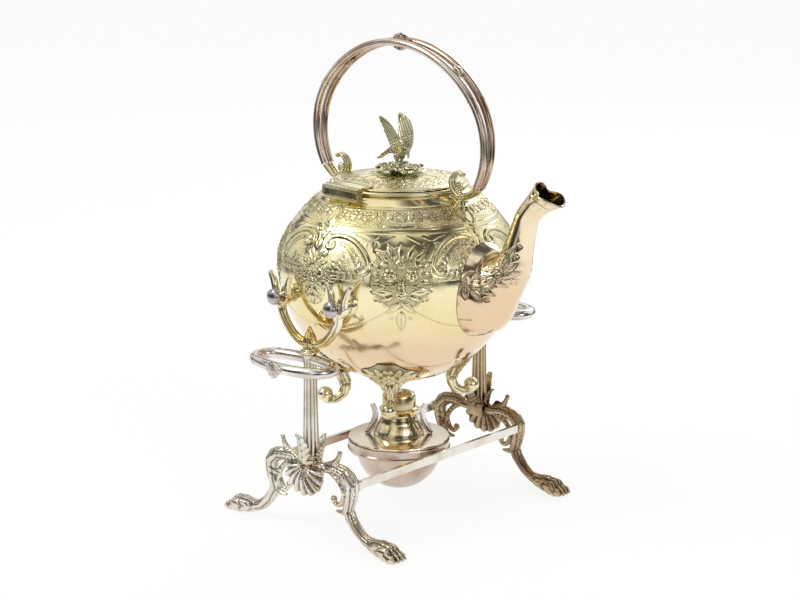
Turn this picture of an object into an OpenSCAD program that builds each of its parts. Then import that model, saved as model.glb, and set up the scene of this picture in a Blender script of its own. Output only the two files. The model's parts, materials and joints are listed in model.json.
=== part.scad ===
// Spirit kettle on its stand: a globular kettle with a hinged lid hangs by four
// pins in a pair of open cradles, above a spirit lamp that drops into a ring.
// X runs towards the spout, Y along the stretcher bars, Z up, floor at zero,
// with the origin under the middle of the kettle.

/* [Kettle body] */
// Largest diameter of the body
body_d = 191; // [184:1:198]
// Depth of the body below its widest ring
body_low = 98.5; // [95:0.5:103]
// Height that the shoulder curve would reach above the widest ring
shoulder_h = 76.4; // [73:0.2:80]
// Fullness of the shoulder curve
shoulder_full = 1.7; // [1.65:0.05:1.9]
// Thickness of the sheet metal
wall = 1.4; // [1:0.1:2]
// Outside radius of the neck
neck_r = 53.5; // [52:0.5:55]
// Height of the upright neck
neck_h = 3.4; // [3:0.1:4.5]
// Radius of the bead round the neck
bead_r = 1.35; // [1:0.05:1.4]

/* [Lid] */
// Radius of the lid
lid_r = 51.5; // [50:0.25:51.75]
// Rise of the lid at its middle
lid_rise = 5.5; // [4.5:0.5:7.5]
// Turn of the lid hinge away from the side of the kettle, in degrees
hinge_turn = 4; // [0:1:14]
// Length of the hinge block
hinge_len = 38; // [34:1:42]
// Radius of a hinge barrel
barrel_r = 2.6; // [2.4:0.1:3]
// Radius of the hinge pin
hinge_pin_r = 1.1; // [0.8:0.1:1.4]

/* [Spout] */
// Reach of the pouring tip beyond the body
spout_reach = 66; // [60:1:72]
// Height of the mouth above the middle of the spout seam
spout_rise = 81; // [75:1:88]
// Radius of the spout at its neck
spout_neck_r = 9.4; // [8.4:0.2:10.4]
// Half height of the seam where the spout meets the body
seam_h = 37; // [33:1:40]
// Radius of a strainer hole
strainer_r = 2.6; // [2.2:0.1:3]

/* [Handle] */
// Rise of the handle above the mouth plane
handle_rise = 109; // [100:1:118]
// Half width of the handle, to the middle of its rods
handle_half_w = 88; // [84:1:91]
// Radius of one handle rod
rod_r = 2.9; // [2.4:0.1:3]
// Distance between the two rods at the top of the handle
rod_gap = 13.5; // [12:0.5:15]
// Distance of the handle posts from the middle
post_x = 65; // [64:0.5:67]
// Radius of the large bead at the top
top_bead_r = 7; // [6:0.25:8]

/* [Pins and cradles] */
// Distance of the hanging pins from the middle
pin_x = 30; // [27:0.5:33]
// Drop of the pins below the widest ring
pin_drop = 17.5; // [14:0.5:21]
// Radius of a hanging pin
pin_r = 2.6; // [2.2:0.1:3]
// Radius of the knob on a pin
knob_r = 6.3; // [5.4:0.1:7]
// Radius of the open notch that a pin rests in
notch_r = 3.5; // [3.4:0.1:4.2]
// Thickness of a cradle
fork_t = 6.6; // [5.6:0.2:7.4]
// Height of the cradle from its collar to the pins
fork_h = 37.5; // [34:0.5:40]

/* [Stand] */
// Reach of the paws on each side
toe_x = 92; // [87:1:98]
// Height of the plinth top, on which a column stands
plinth_z = 62; // [60:1:66]
// Radius of the column at its foot
column_foot_r = 7; // [6.2:0.2:7.4]
// Radius of the column under the cradle
column_top_r = 5.5; // [5:0.1:5.8]
// Distance of the stretcher bars from the middle
bar_x = 46.4; // [45:0.2:47.6]
// Height of the stretcher bars above the floor
bar_z = 49.6; // [48:0.2:51]
// Height of a stretcher bar's section
bar_h = 6.4; // [5:0.2:7]
// Thickness of a stretcher bar's section
bar_t = 3; // [2.4:0.2:3.6]
// Half length of a carrying ring
ring_half_l = 37; // [34:1:40]
// Half width of a carrying ring
ring_half_w = 17; // [15.5:0.5:19]
// Radius of the rod of a carrying ring
ring_rod_r = 4.2; // [3.6:0.1:4.6]

/* [Lamp] */
// Bore radius of the lamp ring
lamp_bore_r = 39.4; // [38.6:0.2:40]
// Radius of the lamp bowl
bowl_r = 34; // [30:0.5:36]
// Depth of the lamp bowl
bowl_h = 32.6; // [29:0.2:34]
// Radius of the burner tube
burner_r = 11.2; // [10.4:0.2:12]
// Radius of the wick
wick_r = 6.4; // [5.4:0.2:7]
// Gap between the lamp and the bottom of the kettle
flame_gap = 12.3; // [12:0.1:16]

/* [Hidden] */

// Clearances
joint_gap = 0.1;
seat_gap = 0.3;
run_gap = 0.05;
side_gap = 1.2;

// Lamp heights, from the stretcher bars up to the snuffer
ring_top_z = bar_z + 5.4;
ring_low_z = bar_z - 3.6;
cover_z = ring_top_z + seat_gap;
cover_t = 2.3;
cover_r = lamp_bore_r + 0.9;
dome_z = cover_z + cover_t + joint_gap;
dome_h = 13.6;
reg_z = dome_z + dome_h + seat_gap;
reg_h = 6.4;
snuff_z = reg_z + reg_h + seat_gap;
snuff_h = 14.4;
snuff_wall = 1.3;
lamp_top_z = snuff_z + snuff_h;

// Kettle heights
body_r = body_d / 2;
body_bottom_z = lamp_top_z + flame_gap;
body_z = body_bottom_z + body_low;
pin_z = body_z - pin_drop;
neck_z = shoulder_z(neck_r);
mouth_z = neck_z + neck_h;
mouth_r = lid_r - 3;

// Stand places
support_y = body_r + side_gap + fork_t / 2;
cradle_z = pin_z - fork_h;
collar_h = 3;
column_top_z = cradle_z - collar_h;
plinth_half = 8;
plinth_depth = 5.5;
plinth_low_z = plinth_z - 11;
knob_y = support_y + fork_t / 2 + 3.2;

// Outlines of the body: radius at a height, height at a radius
function low_radius(z) = body_r * sqrt(1 - pow((body_z - z) / body_low, 2));
function low_z(r) = body_z - body_low * sqrt(1 - pow(r / body_r, 2));
function shoulder_z(r) =
    body_z + shoulder_h * pow(1 - pow(r / body_r, shoulder_full), 1 / shoulder_full);
function shoulder_radius(z) =
    body_r * pow(1 - pow((z - body_z) / shoulder_h, shoulder_full), 1 / shoulder_full);
function body_radius(z) = z < body_z ? low_radius(z) : shoulder_radius(z);

// Point t of the way from b to c on the smooth curve through a, b, c, d
function between(a, b, c, d, t) =
    0.5 * (2 * b + (c - a) * t + (2 * a - 5 * b + 4 * c - d) * t * t
    + (3 * b - a - 3 * c + d) * t * t * t);

// Smooth run through a list of stations, with a number of steps for each
function smooth(p, steps) = [
    for (i = [0 : len(p) - 2], k = [0 : steps - 1])
        between(p[max(i - 1, 0)], p[i], p[i + 1], p[min(i + 2, len(p) - 1)], k / steps),
    p[len(p) - 1]
];

// Angle of the run at station i, in the XZ plane
function run_angle(p, i) =
    let (a = p[max(i - 1, 0)], b = p[min(i + 1, len(p) - 1)])
    atan2(b[1] - a[1], b[0] - a[0]);

// Oval ring in the XZ plane: middle, half width across the run, half depth, run angle
function oval(x, z, w, d, angle, sides, floor_z) = [
    for (j = [0 : sides - 1])
        let (a = 360 * (j + 0.5) / sides)
        [x - w * cos(a) * sin(angle), d * sin(a), max(floor_z, z + w * cos(a) * cos(angle))]
];

// Closed solid through a list of rings with equal counts of points
module skin(rings) {
    m = len(rings[0]);
    n = len(rings);
    polyhedron(
        points = [for (ring = rings, p = ring) p],
        faces = concat(
            [[for (j = [m - 1 : -1 : 0]) j]],
            [for (i = [0 : n - 2], j = [0 : m - 1])
                [i * m + j, i * m + (j + 1) % m, (i + 1) * m + j]],
            [for (i = [0 : n - 2], j = [0 : m - 1])
                [i * m + (j + 1) % m, (i + 1) * m + (j + 1) % m, (i + 1) * m + j]],
            [[for (j = [0 : m - 1]) (n - 1) * m + j]]),
        convexity = 6);
}

// Closed solid through rings that are thin loops: a front row, then the back row reversed
module blade(rings) {
    m = len(rings[0]);
    n = len(rings);
    h = m / 2;
    polyhedron(
        points = [for (ring = rings, p = ring) p],
        faces = concat(
            [for (j = [0 : h - 2]) [m - 1 - j, m - 2 - j, j]],
            [for (j = [0 : h - 2]) [m - 2 - j, j + 1, j]],
            [for (i = [0 : n - 2], j = [0 : m - 1])
                [i * m + j, i * m + (j + 1) % m, (i + 1) * m + j]],
            [for (i = [0 : n - 2], j = [0 : m - 1])
                [i * m + (j + 1) % m, (i + 1) * m + (j + 1) % m, (i + 1) * m + j]],
            [for (j = [0 : h - 2]) [(n - 1) * m + j, (n - 1) * m + j + 1, n * m - 1 - j]],
            [for (j = [0 : h - 2])
                [(n - 1) * m + j + 1, n * m - 2 - j, n * m - 1 - j]]),
        convexity = 8);
}

// Cast branch in the XZ plane, through stations [x, z, half width, half depth]
module branch(stations, sides = 8, steps = 2, floor_z = -1000) {
    run = smooth(stations, steps);
    skin([for (i = [0 : len(run) - 1])
        oval(run[i][0], run[i][1], run[i][2], run[i][3], run_angle(run, i), sides, floor_z)]);
}

// Places a child at one end of the stand: 1 is the near end, -1 the far end
module at_end(side) {
    rotate([0, 0, side > 0 ? 0 : 180])
        translate([0, -support_y, 0])
            children();
}

// Leg: stations from the plinth over the knee and down to the paw
hock_x = bar_x - 7;
leg_run = [
    [plinth_half + 0.4, plinth_z - 5, 4, 4],
    [plinth_half + 6, plinth_z - 5, 4, 4.2],
    [26, plinth_z - 3, 4.6, 4.6],
    [36, plinth_z - 4.4, 5.6, 5],
    [bar_x - 3, bar_z + 1.4, 6.2, 5.2],
    [hock_x + 2.6, 38.5, 5.6, 5],
    [hock_x + 0.4, 29, 5, 4.8],
    [hock_x + 7, 18.5, 4.6, 4.5],
    [toe_x - 37, 11, 4.3, 4.4],
    [toe_x - 27, 7.4, 5.2, 5],
    [toe_x - 17, 6.4, 7.2, 7.4],
    [toe_x - 8, 4.6, 6.2, 8.6],
    [toe_x - 2.5, 3, 3.4, 7]
];
inner_scroll = [
    [21, plinth_z - 6.5, 2.4, 3.2],
    [29, plinth_z - 11.5, 2.2, 3],
    [hock_x - 4.2, 42, 2.2, 2.8],
    [hock_x - 6.5, 33.5, 2.1, 2.6],
    [hock_x - 12, 30.4, 1.8, 2.5],
    [hock_x - 15.4, 33.4, 1.3, 2.4]
];
knee_cusp = [
    [hock_x + 1.5, 29, 3.5, 3.6],
    [hock_x - 6, 25.8, 2.2, 3],
    [hock_x - 12.5, 25.6, 0.7, 1.6]
];
knee_horn = [
    [16, plinth_z - 3, 3.2, 3.4],
    [24, plinth_z + 0.6, 2.8, 3],
    [28.6, plinth_z + 5, 2.2, 2.6],
    [30.6, plinth_z + 9.4, 1.4, 2]
];

module leg() {
    branch(leg_run, 10, 2, 0);
    branch(inner_scroll, 6);
    branch(knee_cusp, 6);
    branch(knee_horn, 6);
    translate([hock_x - 15, 0, 34.4]) sphere(r = 2.7, $fn = 24);
    translate([31, 0, plinth_z + 10.4]) sphere(r = 1.9, $fn = 20);
    // Flat sole and the toes of the paw
    translate([toe_x - 11, 0, 0]) cylinder(r = 6, h = 2, $fn = 32);
    for (k = [-1.5 : 1 : 1.5])
        translate([toe_x - 3.2 - abs(k) * 1.3, k * 4.1, 3])
            sphere(r = 3, $fn = 24);
    // Pad on which a stretcher bar is soldered
    translate([bar_x - bar_t / 2 - 1, 0, bar_z - bar_h / 2 - 0.6])
        cube([bar_t + 2, bar_pad_y, bar_h + 1.2]);
}
bar_pad_y = 6.2;

module leg_node(side, turn) {
    color("lightgoldenrodyellow")
        at_end(side)
            mirror([turn < 0 ? 1 : 0, 0, 0])
                leg();
}
module leg_near_left() { leg_node(1, -1); }
module leg_near_right() { leg_node(1, 1); }
module leg_far_left() { leg_node(-1, -1); }
module leg_far_right() { leg_node(-1, 1); }

// Plinth between two legs, which carries the column
module plinth(side) {
    color("tan")
        at_end(side) {
            translate([-plinth_half, -plinth_depth, plinth_low_z])
                cube([2 * plinth_half, 2 * plinth_depth, plinth_z - plinth_low_z - 1.5]);
            translate([0, 0, plinth_z - 3])
                intersection() {
                    cylinder(r = column_foot_r + 1.6, h = 3, $fn = 48);
                    translate([-plinth_half, -plinth_half * 2, 0])
                        cube([2 * plinth_half, 4 * plinth_half, 3]);
                }
        }
}
module plinth_near() { plinth(1); }
module plinth_far() { plinth(-1); }

// Scallop shell on the outer face of the plinth
shell_l = 24;
shell_ribs = 9;
shell_spread = 88;
shell_cols = 27;
function shell_ring(s) =
    let (
        front = [for (j = [0 : shell_cols])
            let (
                f = -shell_spread + 2 * shell_spread * j / shell_cols,
                rib = abs(cos(f / shell_spread * shell_ribs * 90)),
                l = shell_l * (1 - 0.26 * pow(f / shell_spread, 2)) * (1 + 0.05 * rib * s))
            [l * s * sin(f), -1.6 - 4.4 * sin(180 * (0.12 + 0.8 * s)) - 1.5 * rib * s,
                -l * s * cos(f)]],
        back = [for (j = [shell_cols : -1 : 0]) [front[j][0], 0, front[j][2]]])
    concat(front, back);

module shell(side) {
    color("palegoldenrod")
        at_end(side)
            translate([0, -plinth_depth - joint_gap, plinth_z - 3.4]) {
                blade([for (s = [0.14, 0.45, 0.75, 1]) shell_ring(s)]);
                // Volutes at both sides of the shell
                for (x = [-1, 1])
                    translate([x * 15.6, 0, 0.5])
                        rotate([90, 0, 0]) {
                            rotate_extrude($fn = 36)
                                translate([3.7, 0])
                                    intersection() {
                                        circle(r = 1.9, $fn = 20);
                                        translate([-2, 0]) square([4, 2]);
                                    }
                            cylinder(r = 1.6, h = 2.6, $fn = 20);
                        }
            }
}
module shell_near() { shell(1); }
module shell_far() { shell(-1); }

// Reeded and tapered column
column_reeds = 8;
function reeded(r, z) = [
    for (j = [0 : 4 * column_reeds - 1])
        let (a = -90 * j / column_reeds, q = r * (0.9 + 0.1 * abs(sin(column_reeds * a / 2))))
        [q * cos(a), q * sin(a), z]
];
module column(side) {
    rise = column_top_z - plinth_z;
    color("beige")
        at_end(side)
            skin([
                reeded(column_foot_r + 1, plinth_z + joint_gap),
                reeded(column_foot_r + 1, plinth_z + 1.6),
                reeded(column_foot_r, plinth_z + 3),
                reeded((column_foot_r + column_top_r) / 2 - 0.3, plinth_z + rise * 0.5),
                reeded(column_top_r - 0.2, column_top_z - 6),
                reeded(column_top_r, column_top_z - joint_gap)]);
}
module column_near() { column(1); }
module column_far() { column(-1); }

// Acanthus leaves that stand on the plinth round the foot of the column
leaf_run = [
    [column_foot_r + 3.2, plinth_z + joint_gap, 1.2, 3.2],
    [column_foot_r + 3.4, plinth_z + 5, 1.3, 4.4],
    [column_foot_r + 4.8, plinth_z + 10, 1.2, 4],
    [column_foot_r + 7.2, plinth_z + 14, 0.9, 2.4],
    [column_foot_r + 9, plinth_z + 15, 0.5, 0.8]
];
module leaves(side) {
    color("khaki")
        at_end(side)
            for (a = [-130, -50])
                rotate([0, 0, a])
                    branch(leaf_run, 6);
}
module leaves_near() { leaves(1); }
module leaves_far() { leaves(-1); }

// Cradle: two arms rise from a collar, each with an open notch and two horns
notch_z = pin_z - pin_r - seat_gap + notch_r;
notch_rod = 2.7;
notch_mid_r = notch_r + notch_rod;
arm_run = [
    [0, cradle_z + 4.6, 4.2, fork_t / 2],
    [9, cradle_z + 5.2, 3.8, fork_t / 2],
    [17.5, cradle_z + 9.4, 3.8, fork_t / 2],
    [pin_x - 5, cradle_z + 17.5, 4, fork_t / 2],
    [pin_x - 0.8, cradle_z + 25, 4.3, fork_t / 2],
    [pin_x + 0.4, notch_z - notch_mid_r, 4.6, fork_t / 2 - 0.3]
];
horn_out = [
    [notch_mid_r, 0, notch_rod, fork_t / 2],
    [notch_mid_r + 0.8, 6, 2.9, fork_t / 2],
    [notch_mid_r + 3.2, 12, 2.6, fork_t / 2 - 0.4],
    [notch_mid_r + 6.4, 16.6, 1.8, fork_t / 2 - 1]
];
horn_in = [
    [notch_mid_r, 0, notch_rod, fork_t / 2],
    [notch_mid_r + 0.4, 6, 2.6, fork_t / 2],
    [notch_mid_r + 1.6, 11.4, 2.2, fork_t / 2 - 0.5],
    [notch_mid_r + 3.6, 15.4, 1.5, fork_t / 2 - 1.2]
];

module half_notch() {
    rotate([90, 180, 0])
        rotate_extrude(angle = 180, $fn = 48)
            translate([notch_mid_r, 0])
                square([2 * notch_rod, fork_t], center = true);
}
module cradle(side) {
    color("goldenrod")
        at_end(side) {
            // Collar and the bud at the foot of the cradle
            rotate_extrude($fn = 48)
                polygon([
                    [0, column_top_z], [6, column_top_z], [8, column_top_z + 0.8],
                    [8, cradle_z - 0.8], [5.4, cradle_z], [5.2, cradle_z + 3],
                    [5.6, cradle_z + 6], [4.8, cradle_z + 10], [2.6, cradle_z + 14],
                    [1, cradle_z + 18], [0, cradle_z + 19.5]]);
            for (m = [0, 1])
                mirror([m, 0, 0]) {
                    branch(arm_run, 8);
                    translate([pin_x, 0, notch_z]) {
                        half_notch();
                        branch(horn_out, 8);
                        mirror([1, 0, 0]) branch(horn_in, 8);
                    }
                }
        }
}
module cradle_near() { cradle(1); }
module cradle_far() { cradle(-1); }

// Rod bent to an arc, and the sleeve over the joint of two arcs
module arc_rod(radius, from, sweep, rod) {
    rotate([0, 0, from])
        rotate_extrude(angle = sweep, $fn = 96)
            translate([radius, 0])
                circle(r = rod, $fn = 32);
}
module sleeve(radius, at, rod) {
    rotate([0, 0, at])
        translate([radius, 0, 0])
            rotate([90, 0, 0])
                cylinder(r = rod + 0.3, h = 2.2, center = true, $fn = 32);
}
arc_end = 0.3;

// Carrying ring: an oval of arcs in front of the column top
ring_end_r = 12.5;
ring_side_r = (pow(ring_half_l - ring_end_r, 2) + pow(ring_half_w, 2) - pow(ring_end_r, 2))
    / (2 * (ring_half_w - ring_end_r));
ring_angle = atan2(ring_half_l - ring_end_r, ring_side_r - ring_half_w);
ring_z = column_top_z - ring_rod_r - 0.2;
ring_back = 0;
ring_mid_y = -ring_back - ring_half_w;

module ring_handle(side) {
    color("silver")
        at_end(side)
            translate([0, 0, ring_z])
                difference() {
                    translate([0, ring_mid_y, 0])
                        for (s = [0, 180])
                            rotate([0, 0, s]) {
                                translate([ring_half_l - ring_end_r, 0, 0]) {
                                    arc_rod(ring_end_r, ring_angle - 90 + 4 * arc_end,
                                        180 - 2 * ring_angle - 8 * arc_end, ring_rod_r);
                                    sleeve(ring_end_r, 90 - ring_angle, ring_rod_r);
                                    sleeve(ring_end_r, ring_angle - 90, ring_rod_r);
                                }
                                translate([0, ring_half_w - ring_side_r, 0])
                                    arc_rod(ring_side_r, 90 - ring_angle + arc_end,
                                        2 * ring_angle - 2 * arc_end, ring_rod_r);
                            }
                    translate([0, 0, -ring_rod_r - 1])
                        cylinder(r = column_top_r + run_gap, h = 2 * ring_rod_r + 2, $fn = 48);
                }
}
module ring_handle_near() { ring_handle(1); }
module ring_handle_far() { ring_handle(-1); }

// Small shell soldered on the outside of a carrying ring
function small_shell_ring(s) =
    let (
        front = [for (j = [0 : 14])
            let (f = -75 + 150 * j / 14, rib = abs(cos(f * 3.6)))
            [13.5 * s * sin(f) * 0.62, -0.8 - 1.9 * sin(180 * (0.1 + 0.8 * s)) - 0.5 * rib * s,
                -13.5 * s * cos(f)]],
        back = [for (j = [14 : -1 : 0]) [front[j][0], 0, front[j][2]]])
    concat(front, back);
module ring_shell(side) {
    color("gainsboro")
        at_end(side)
            translate([0, ring_mid_y - ring_half_w - ring_rod_r - joint_gap, ring_z + 6.5])
                blade([for (s = [0.16, 0.5, 0.8, 1]) small_shell_ring(s)]);
}
module ring_shell_near() { ring_shell(1); }
module ring_shell_far() { ring_shell(-1); }

// Stretcher bars between the pads of the legs
module bar(side) {
    half = support_y - bar_pad_y - joint_gap;
    color("wheat")
        translate([side * bar_x - bar_t / 2, -half, bar_z - bar_h / 2])
            cube([bar_t, 2 * half, bar_h]);
}
module bar_front() { bar(1); }
module bar_rear() { bar(-1); }

// Ring that takes the lamp, with tabs to both bars
module lamp_ring() {
    r = lamp_bore_r;
    tab = bar_x - bar_t / 2 - joint_gap;
    color("goldenrod")
        difference() {
            union() {
                rotate_extrude($fn = 96)
                    polygon([
                        [r, ring_low_z], [r + 1.4, ring_low_z], [r + 2, ring_low_z + 0.9],
                        [r + 2, ring_low_z + 2.2], [r + 1.2, ring_low_z + 3.2],
                        [r + 1.2, ring_top_z - 1.6], [r + 1.7, ring_top_z - 0.6],
                        [r + 1.4, ring_top_z], [r, ring_top_z]]);
                translate([-tab, -5, bar_z - bar_h / 2 + 0.4]) cube([2 * tab, 10, bar_h - 1.6]);
            }
            translate([0, 0, ring_low_z - 1])
                cylinder(r = r, h = ring_top_z - ring_low_z + 2, $fn = 96);
        }
}

// Hanging pin with its domed knob
boss_r = 6.2;
boss_out_y = support_y - fork_t / 2 - 1;
boss_in_y = low_radius(pin_z) - 11;
bore_in_y = boss_in_y + 2.5;
module pin(x, side) {
    head_y = knob_y - bore_in_y - run_gap;
    color("lightsteelblue")
        translate([x * pin_x, -side * (bore_in_y + run_gap), pin_z])
            rotate([side * 90, 0, 0]) {
                cylinder(r = pin_r, h = head_y + 1, $fn = 32);
                translate([0, 0, head_y])
                    rotate_extrude($fn = 48)
                        polygon(concat(
                            [[0, 0], [knob_r * 0.8, 0], [knob_r, 1.2]],
                            [for (a = [0 : 15 : 90]) [knob_r * cos(a), 2.6 + 3.2 * sin(a)]]));
            }
}
module pin_front_near() { pin(1, 1); }
module pin_front_far() { pin(1, -1); }
module pin_rear_near() { pin(-1, 1); }
module pin_rear_far() { pin(-1, -1); }

// Sheet body: the outline of the body, a distance inside its outer face
function body_outline(inset, upper_r) =
    let (
        r = body_r - inset,
        low = body_low - inset,
        high = shoulder_h - inset,
        top = 90 - asin(pow(upper_r / r, shoulder_full / 2)))
    concat(
        [for (k = [0 : 16]) let (a = 90 - 90 * k / 16) [r * cos(a), body_z - low * sin(a)]],
        [for (k = [1 : 12]) let (a = top * k / 12)
            [r * pow(cos(a), 2 / shoulder_full),
                body_z + high * pow(sin(a), 2 / shoulder_full)]]);
function backwards(list) = [for (i = [len(list) - 1 : -1 : 0]) list[i]];

module body_solid(grow) {
    rotate_extrude($fn = 120)
        polygon(concat(body_outline(-grow, neck_r), [[0, neck_z]]));
}

seam_z = body_z - 12;
// Upper half: the shoulder and the neck
module kettle_shoulder() {
    outer = body_outline(0, neck_r);
    inner = body_outline(wall, mouth_r);
    color("khaki")
        rotate_extrude($fn = 120)
            polygon(concat(
                [[body_r, body_z + joint_gap]],
                [for (i = [17 : 28]) outer[i]],
                [[neck_r, mouth_z], [mouth_r, mouth_z]],
                [for (i = [28 : -1 : 17]) inner[i]],
                [[body_r - wall, body_z + joint_gap]]));
}

// Lower half: the bowl with the bosses and the strainer
module kettle_bowl() {
    outer = body_outline(0, neck_r);
    inner = body_outline(wall, mouth_r);
    color("khaki")
        difference() {
            union() {
                rotate_extrude($fn = 120)
                    polygon(concat(
                        [for (i = [0 : 16]) outer[i]],
                        [for (i = [16 : -1 : 0]) inner[i]]));
                // Bosses for the hanging pins
                for (x = [-1, 1], y = [-1, 1])
                    translate([x * pin_x, y * boss_in_y, pin_z])
                        rotate([-y * 90, 0, 0])
                            cylinder(r = boss_r, h = boss_out_y - boss_in_y, $fn = 48);
            }
            for (x = [-1, 1], y = [-1, 1])
                translate([x * pin_x, y * bore_in_y, pin_z])
                    rotate([-y * 90, 0, 0])
                        cylinder(r = pin_r + run_gap, h = 30, $fn = 32);
            // Strainer behind the spout
            for (k = [0 : 6])
                translate([body_r - 30, k == 6 ? 0 : 7.4 * cos(60 * k),
                    seam_z + (k == 6 ? 0 : 7.4 * sin(60 * k))])
                    rotate([0, 90, 0])
                        cylinder(r = strainer_r, h = 60, $fn = 24);
        }
}

// Bead soldered round the neck
module neck_bead() {
    color("gold")
        rotate_extrude($fn = 120)
            translate([neck_r + run_gap, mouth_z - 1.3])
                intersection() {
                    circle(r = bead_r, $fn = 24);
                    translate([0, -3]) square([3, 6]);
                }
}

// Spout: stations [x, z, half height, half width, angle of the section]
spout_root_x = body_radius(seam_z);
spout_tip_x = body_r + spout_reach;
spout_mouth_z = seam_z + spout_rise;
spout_stations = [
    [spout_root_x + 4.5, seam_z + 1, seam_h - 6.5, 28, 95],
    [spout_root_x + 10.5, seam_z + 8.5, seam_h - 15.5, 20.5, 116],
    [spout_tip_x - 45.5, seam_z + 23, 14.6, 14.6, 149],
    [spout_tip_x - 41, seam_z + 35.5, 11.8, 11.8, 162],
    [spout_tip_x - 36.8, seam_z + 50, spout_neck_r + 0.6, spout_neck_r + 0.6, 163],
    [spout_tip_x - 32, spout_mouth_z - 18.5, spout_neck_r, spout_neck_r, 155],
    [spout_tip_x - 22.8, spout_mouth_z - 8.2, spout_neck_r + 0.8, spout_neck_r + 0.4, 144],
    [spout_tip_x - 12.6, spout_mouth_z, 12.9, spout_neck_r + 2.4, 153]
];
function seam_ring(inset) = [
    for (j = [0 : 23])
        let (
            a = 360 * (j + 0.5) / 24,
            y = (33 - inset) * sin(a),
            z = seam_z + (seam_h - inset) * cos(a))
        [sqrt(pow(body_radius(z), 2) - y * y) + 0.2, y, z]
];
function spout_rings(inset) =
    let (run = smooth(spout_stations, 2))
    concat(
        [seam_ring(inset)],
        [for (s = run) oval(s[0], s[1], s[2] - inset, s[3] - inset, s[4] - 90, 24, -1000)]);
module spout() {
    outer = spout_rings(0);
    inner = spout_rings(1.1);
    n = len(outer);
    m = 24;
    color("burlywood")
        polyhedron(
            points = [for (ring = concat(outer, inner), p = ring) p],
            faces = concat(
                [for (i = [0 : n - 2], j = [0 : m - 1], h = [0, 1])
                    let (a = i * m + j, b = i * m + (j + 1) % m)
                    h == 0 ? [a, b, a + m] : [b, b + m, a + m]],
                [for (i = [0 : n - 2], j = [0 : m - 1], h = [0, 1])
                    let (a = (n + i) * m + j, b = (n + i) * m + (j + 1) % m)
                    h == 0 ? [b, a, a + m] : [b + m, b, a + m]],
                [for (j = [0 : m - 1], h = [0, 1])
                    let (a = j, b = (j + 1) % m)
                    h == 0 ? [b, a, a + n * m] : [b, a + n * m, b + n * m]],
                [for (j = [0 : m - 1], h = [0, 1])
                    let (a = (n - 1) * m + j, b = (n - 1) * m + (j + 1) % m)
                    h == 0 ? [a, b, a + n * m] : [b, b + n * m, a + n * m]]),
            convexity = 10);
}

// Kettle feet: a scroll under a foliate plate, in the plane of the foot
foot_angle = 55.5;
foot_r = 44;
foot_low_z = body_bottom_z - 15;
foot_run = [
    [foot_r + 3, low_z(foot_r + 3) - 4.4, 4.2, 5],
    [foot_r - 0.8, foot_low_z + 13.6, 4.6, 4.4],
    [foot_r + 1.8, foot_low_z + 4.6, 4.1, 4.2],
    [foot_r + 9, foot_low_z, 3.4, 4.6],
    [foot_r + 16, foot_low_z + 0.4, 2.7, 5.2],
    [foot_r + 18.8, foot_low_z + 4.8, 2.2, 5.6],
    [foot_r + 15.6, foot_low_z + 7.8, 1.9, 5.6],
    [foot_r + 12.6, foot_low_z + 5, 1.7, 5.6],
    [foot_r + 15, foot_low_z + 3.8, 1.2, 5.6]
];
// Plate: stations [distance from the kettle axis, half width]
plate_stations = [
    [foot_r - 4, 4], [foot_r, 5.5], [foot_r + 5, 11], [foot_r + 9, 17.5],
    [foot_r + 13, 23.5], [foot_r + 16, 22.5], [foot_r + 20, 13.5], [foot_r + 25, 7.5]
];
function on_underside(r, s, off) =
    let (
        a = s / r * 180 / PI,
        nr = r / (body_r * body_r),
        nz = (low_z(r) - body_z) / (body_low * body_low),
        n = sqrt(nr * nr + nz * nz),
        q = r + off * nr / n)
    [q * cos(a), q * sin(a), low_z(r) + off * nz / n];
function plate_ring(r, half) = concat(
    [for (k = [6 : -1 : 0]) on_underside(r, half * (k / 3 - 1), 0.85 + 1.4 * sin(30 * k))],
    [for (k = [0 : 6]) on_underside(r, half * (k / 3 - 1), 0.45)]);
module kettle_foot(angle) {
    color("darkkhaki")
        rotate([0, 0, angle]) {
            branch(foot_run, 8);
            blade([for (s = plate_stations) plate_ring(s[0], s[1])]);
        }
}
module foot_front_near() { kettle_foot(-foot_angle); }
module foot_front_far() { kettle_foot(foot_angle); }
module foot_rear_near() { kettle_foot(foot_angle - 180); }
module foot_rear_far() { kettle_foot(180 - foot_angle); }

// Fixed handle: each rod is a top arc between two tighter side arcs
handle_top_z = mouth_z + handle_rise;
top_arc_r = 95;
side_arc_r = 60;
top_arc_half = asin((handle_half_w - side_arc_r) / (top_arc_r - side_arc_r));
side_mid_x = handle_half_w - side_arc_r;
side_mid_z = handle_top_z - top_arc_r + (top_arc_r - side_arc_r) * cos(top_arc_half);
rod_end_z = mouth_z + 5;
rod_end_angle = asin((side_mid_z - rod_end_z) / side_arc_r);
rod_end_x = side_mid_x + side_arc_r * cos(rod_end_angle);

// The rods lean apart from their lower ends, which touch the scrolls side by side
rod_foot_gap = 2 * rod_r + 0.6;
rod_lean = atan2((rod_gap - rod_foot_gap) / 2, handle_top_z - rod_end_z);
handle_x = 2;
function rod_seat(side) = side < 0 ? 4 * seat_gap : 1.5 * seat_gap;
module handle_rod(side) {
    color("rosybrown")
        translate([handle_x, side * rod_foot_gap / 2, rod_end_z])
            rotate([90 - side * rod_lean, 0, 0])
                translate([0, -rod_end_z, 0]) {
                translate([0, handle_top_z - top_arc_r, 0])
                    arc_rod(top_arc_r, 90 - top_arc_half + arc_end,
                        2 * top_arc_half - 2 * arc_end, rod_r);
                for (m = [0, 1])
                    mirror([m, 0, 0])
                        translate([side_mid_x, side_mid_z, 0]) {
                            arc_rod(side_arc_r, -rod_end_angle,
                                rod_end_angle + 90 - top_arc_half - arc_end, rod_r);
                            sleeve(side_arc_r, 90 - top_arc_half, rod_r);
                        }
            }
}
module handle_rod_near() { handle_rod(-1); }
module handle_rod_far() { handle_rod(1); }

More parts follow.
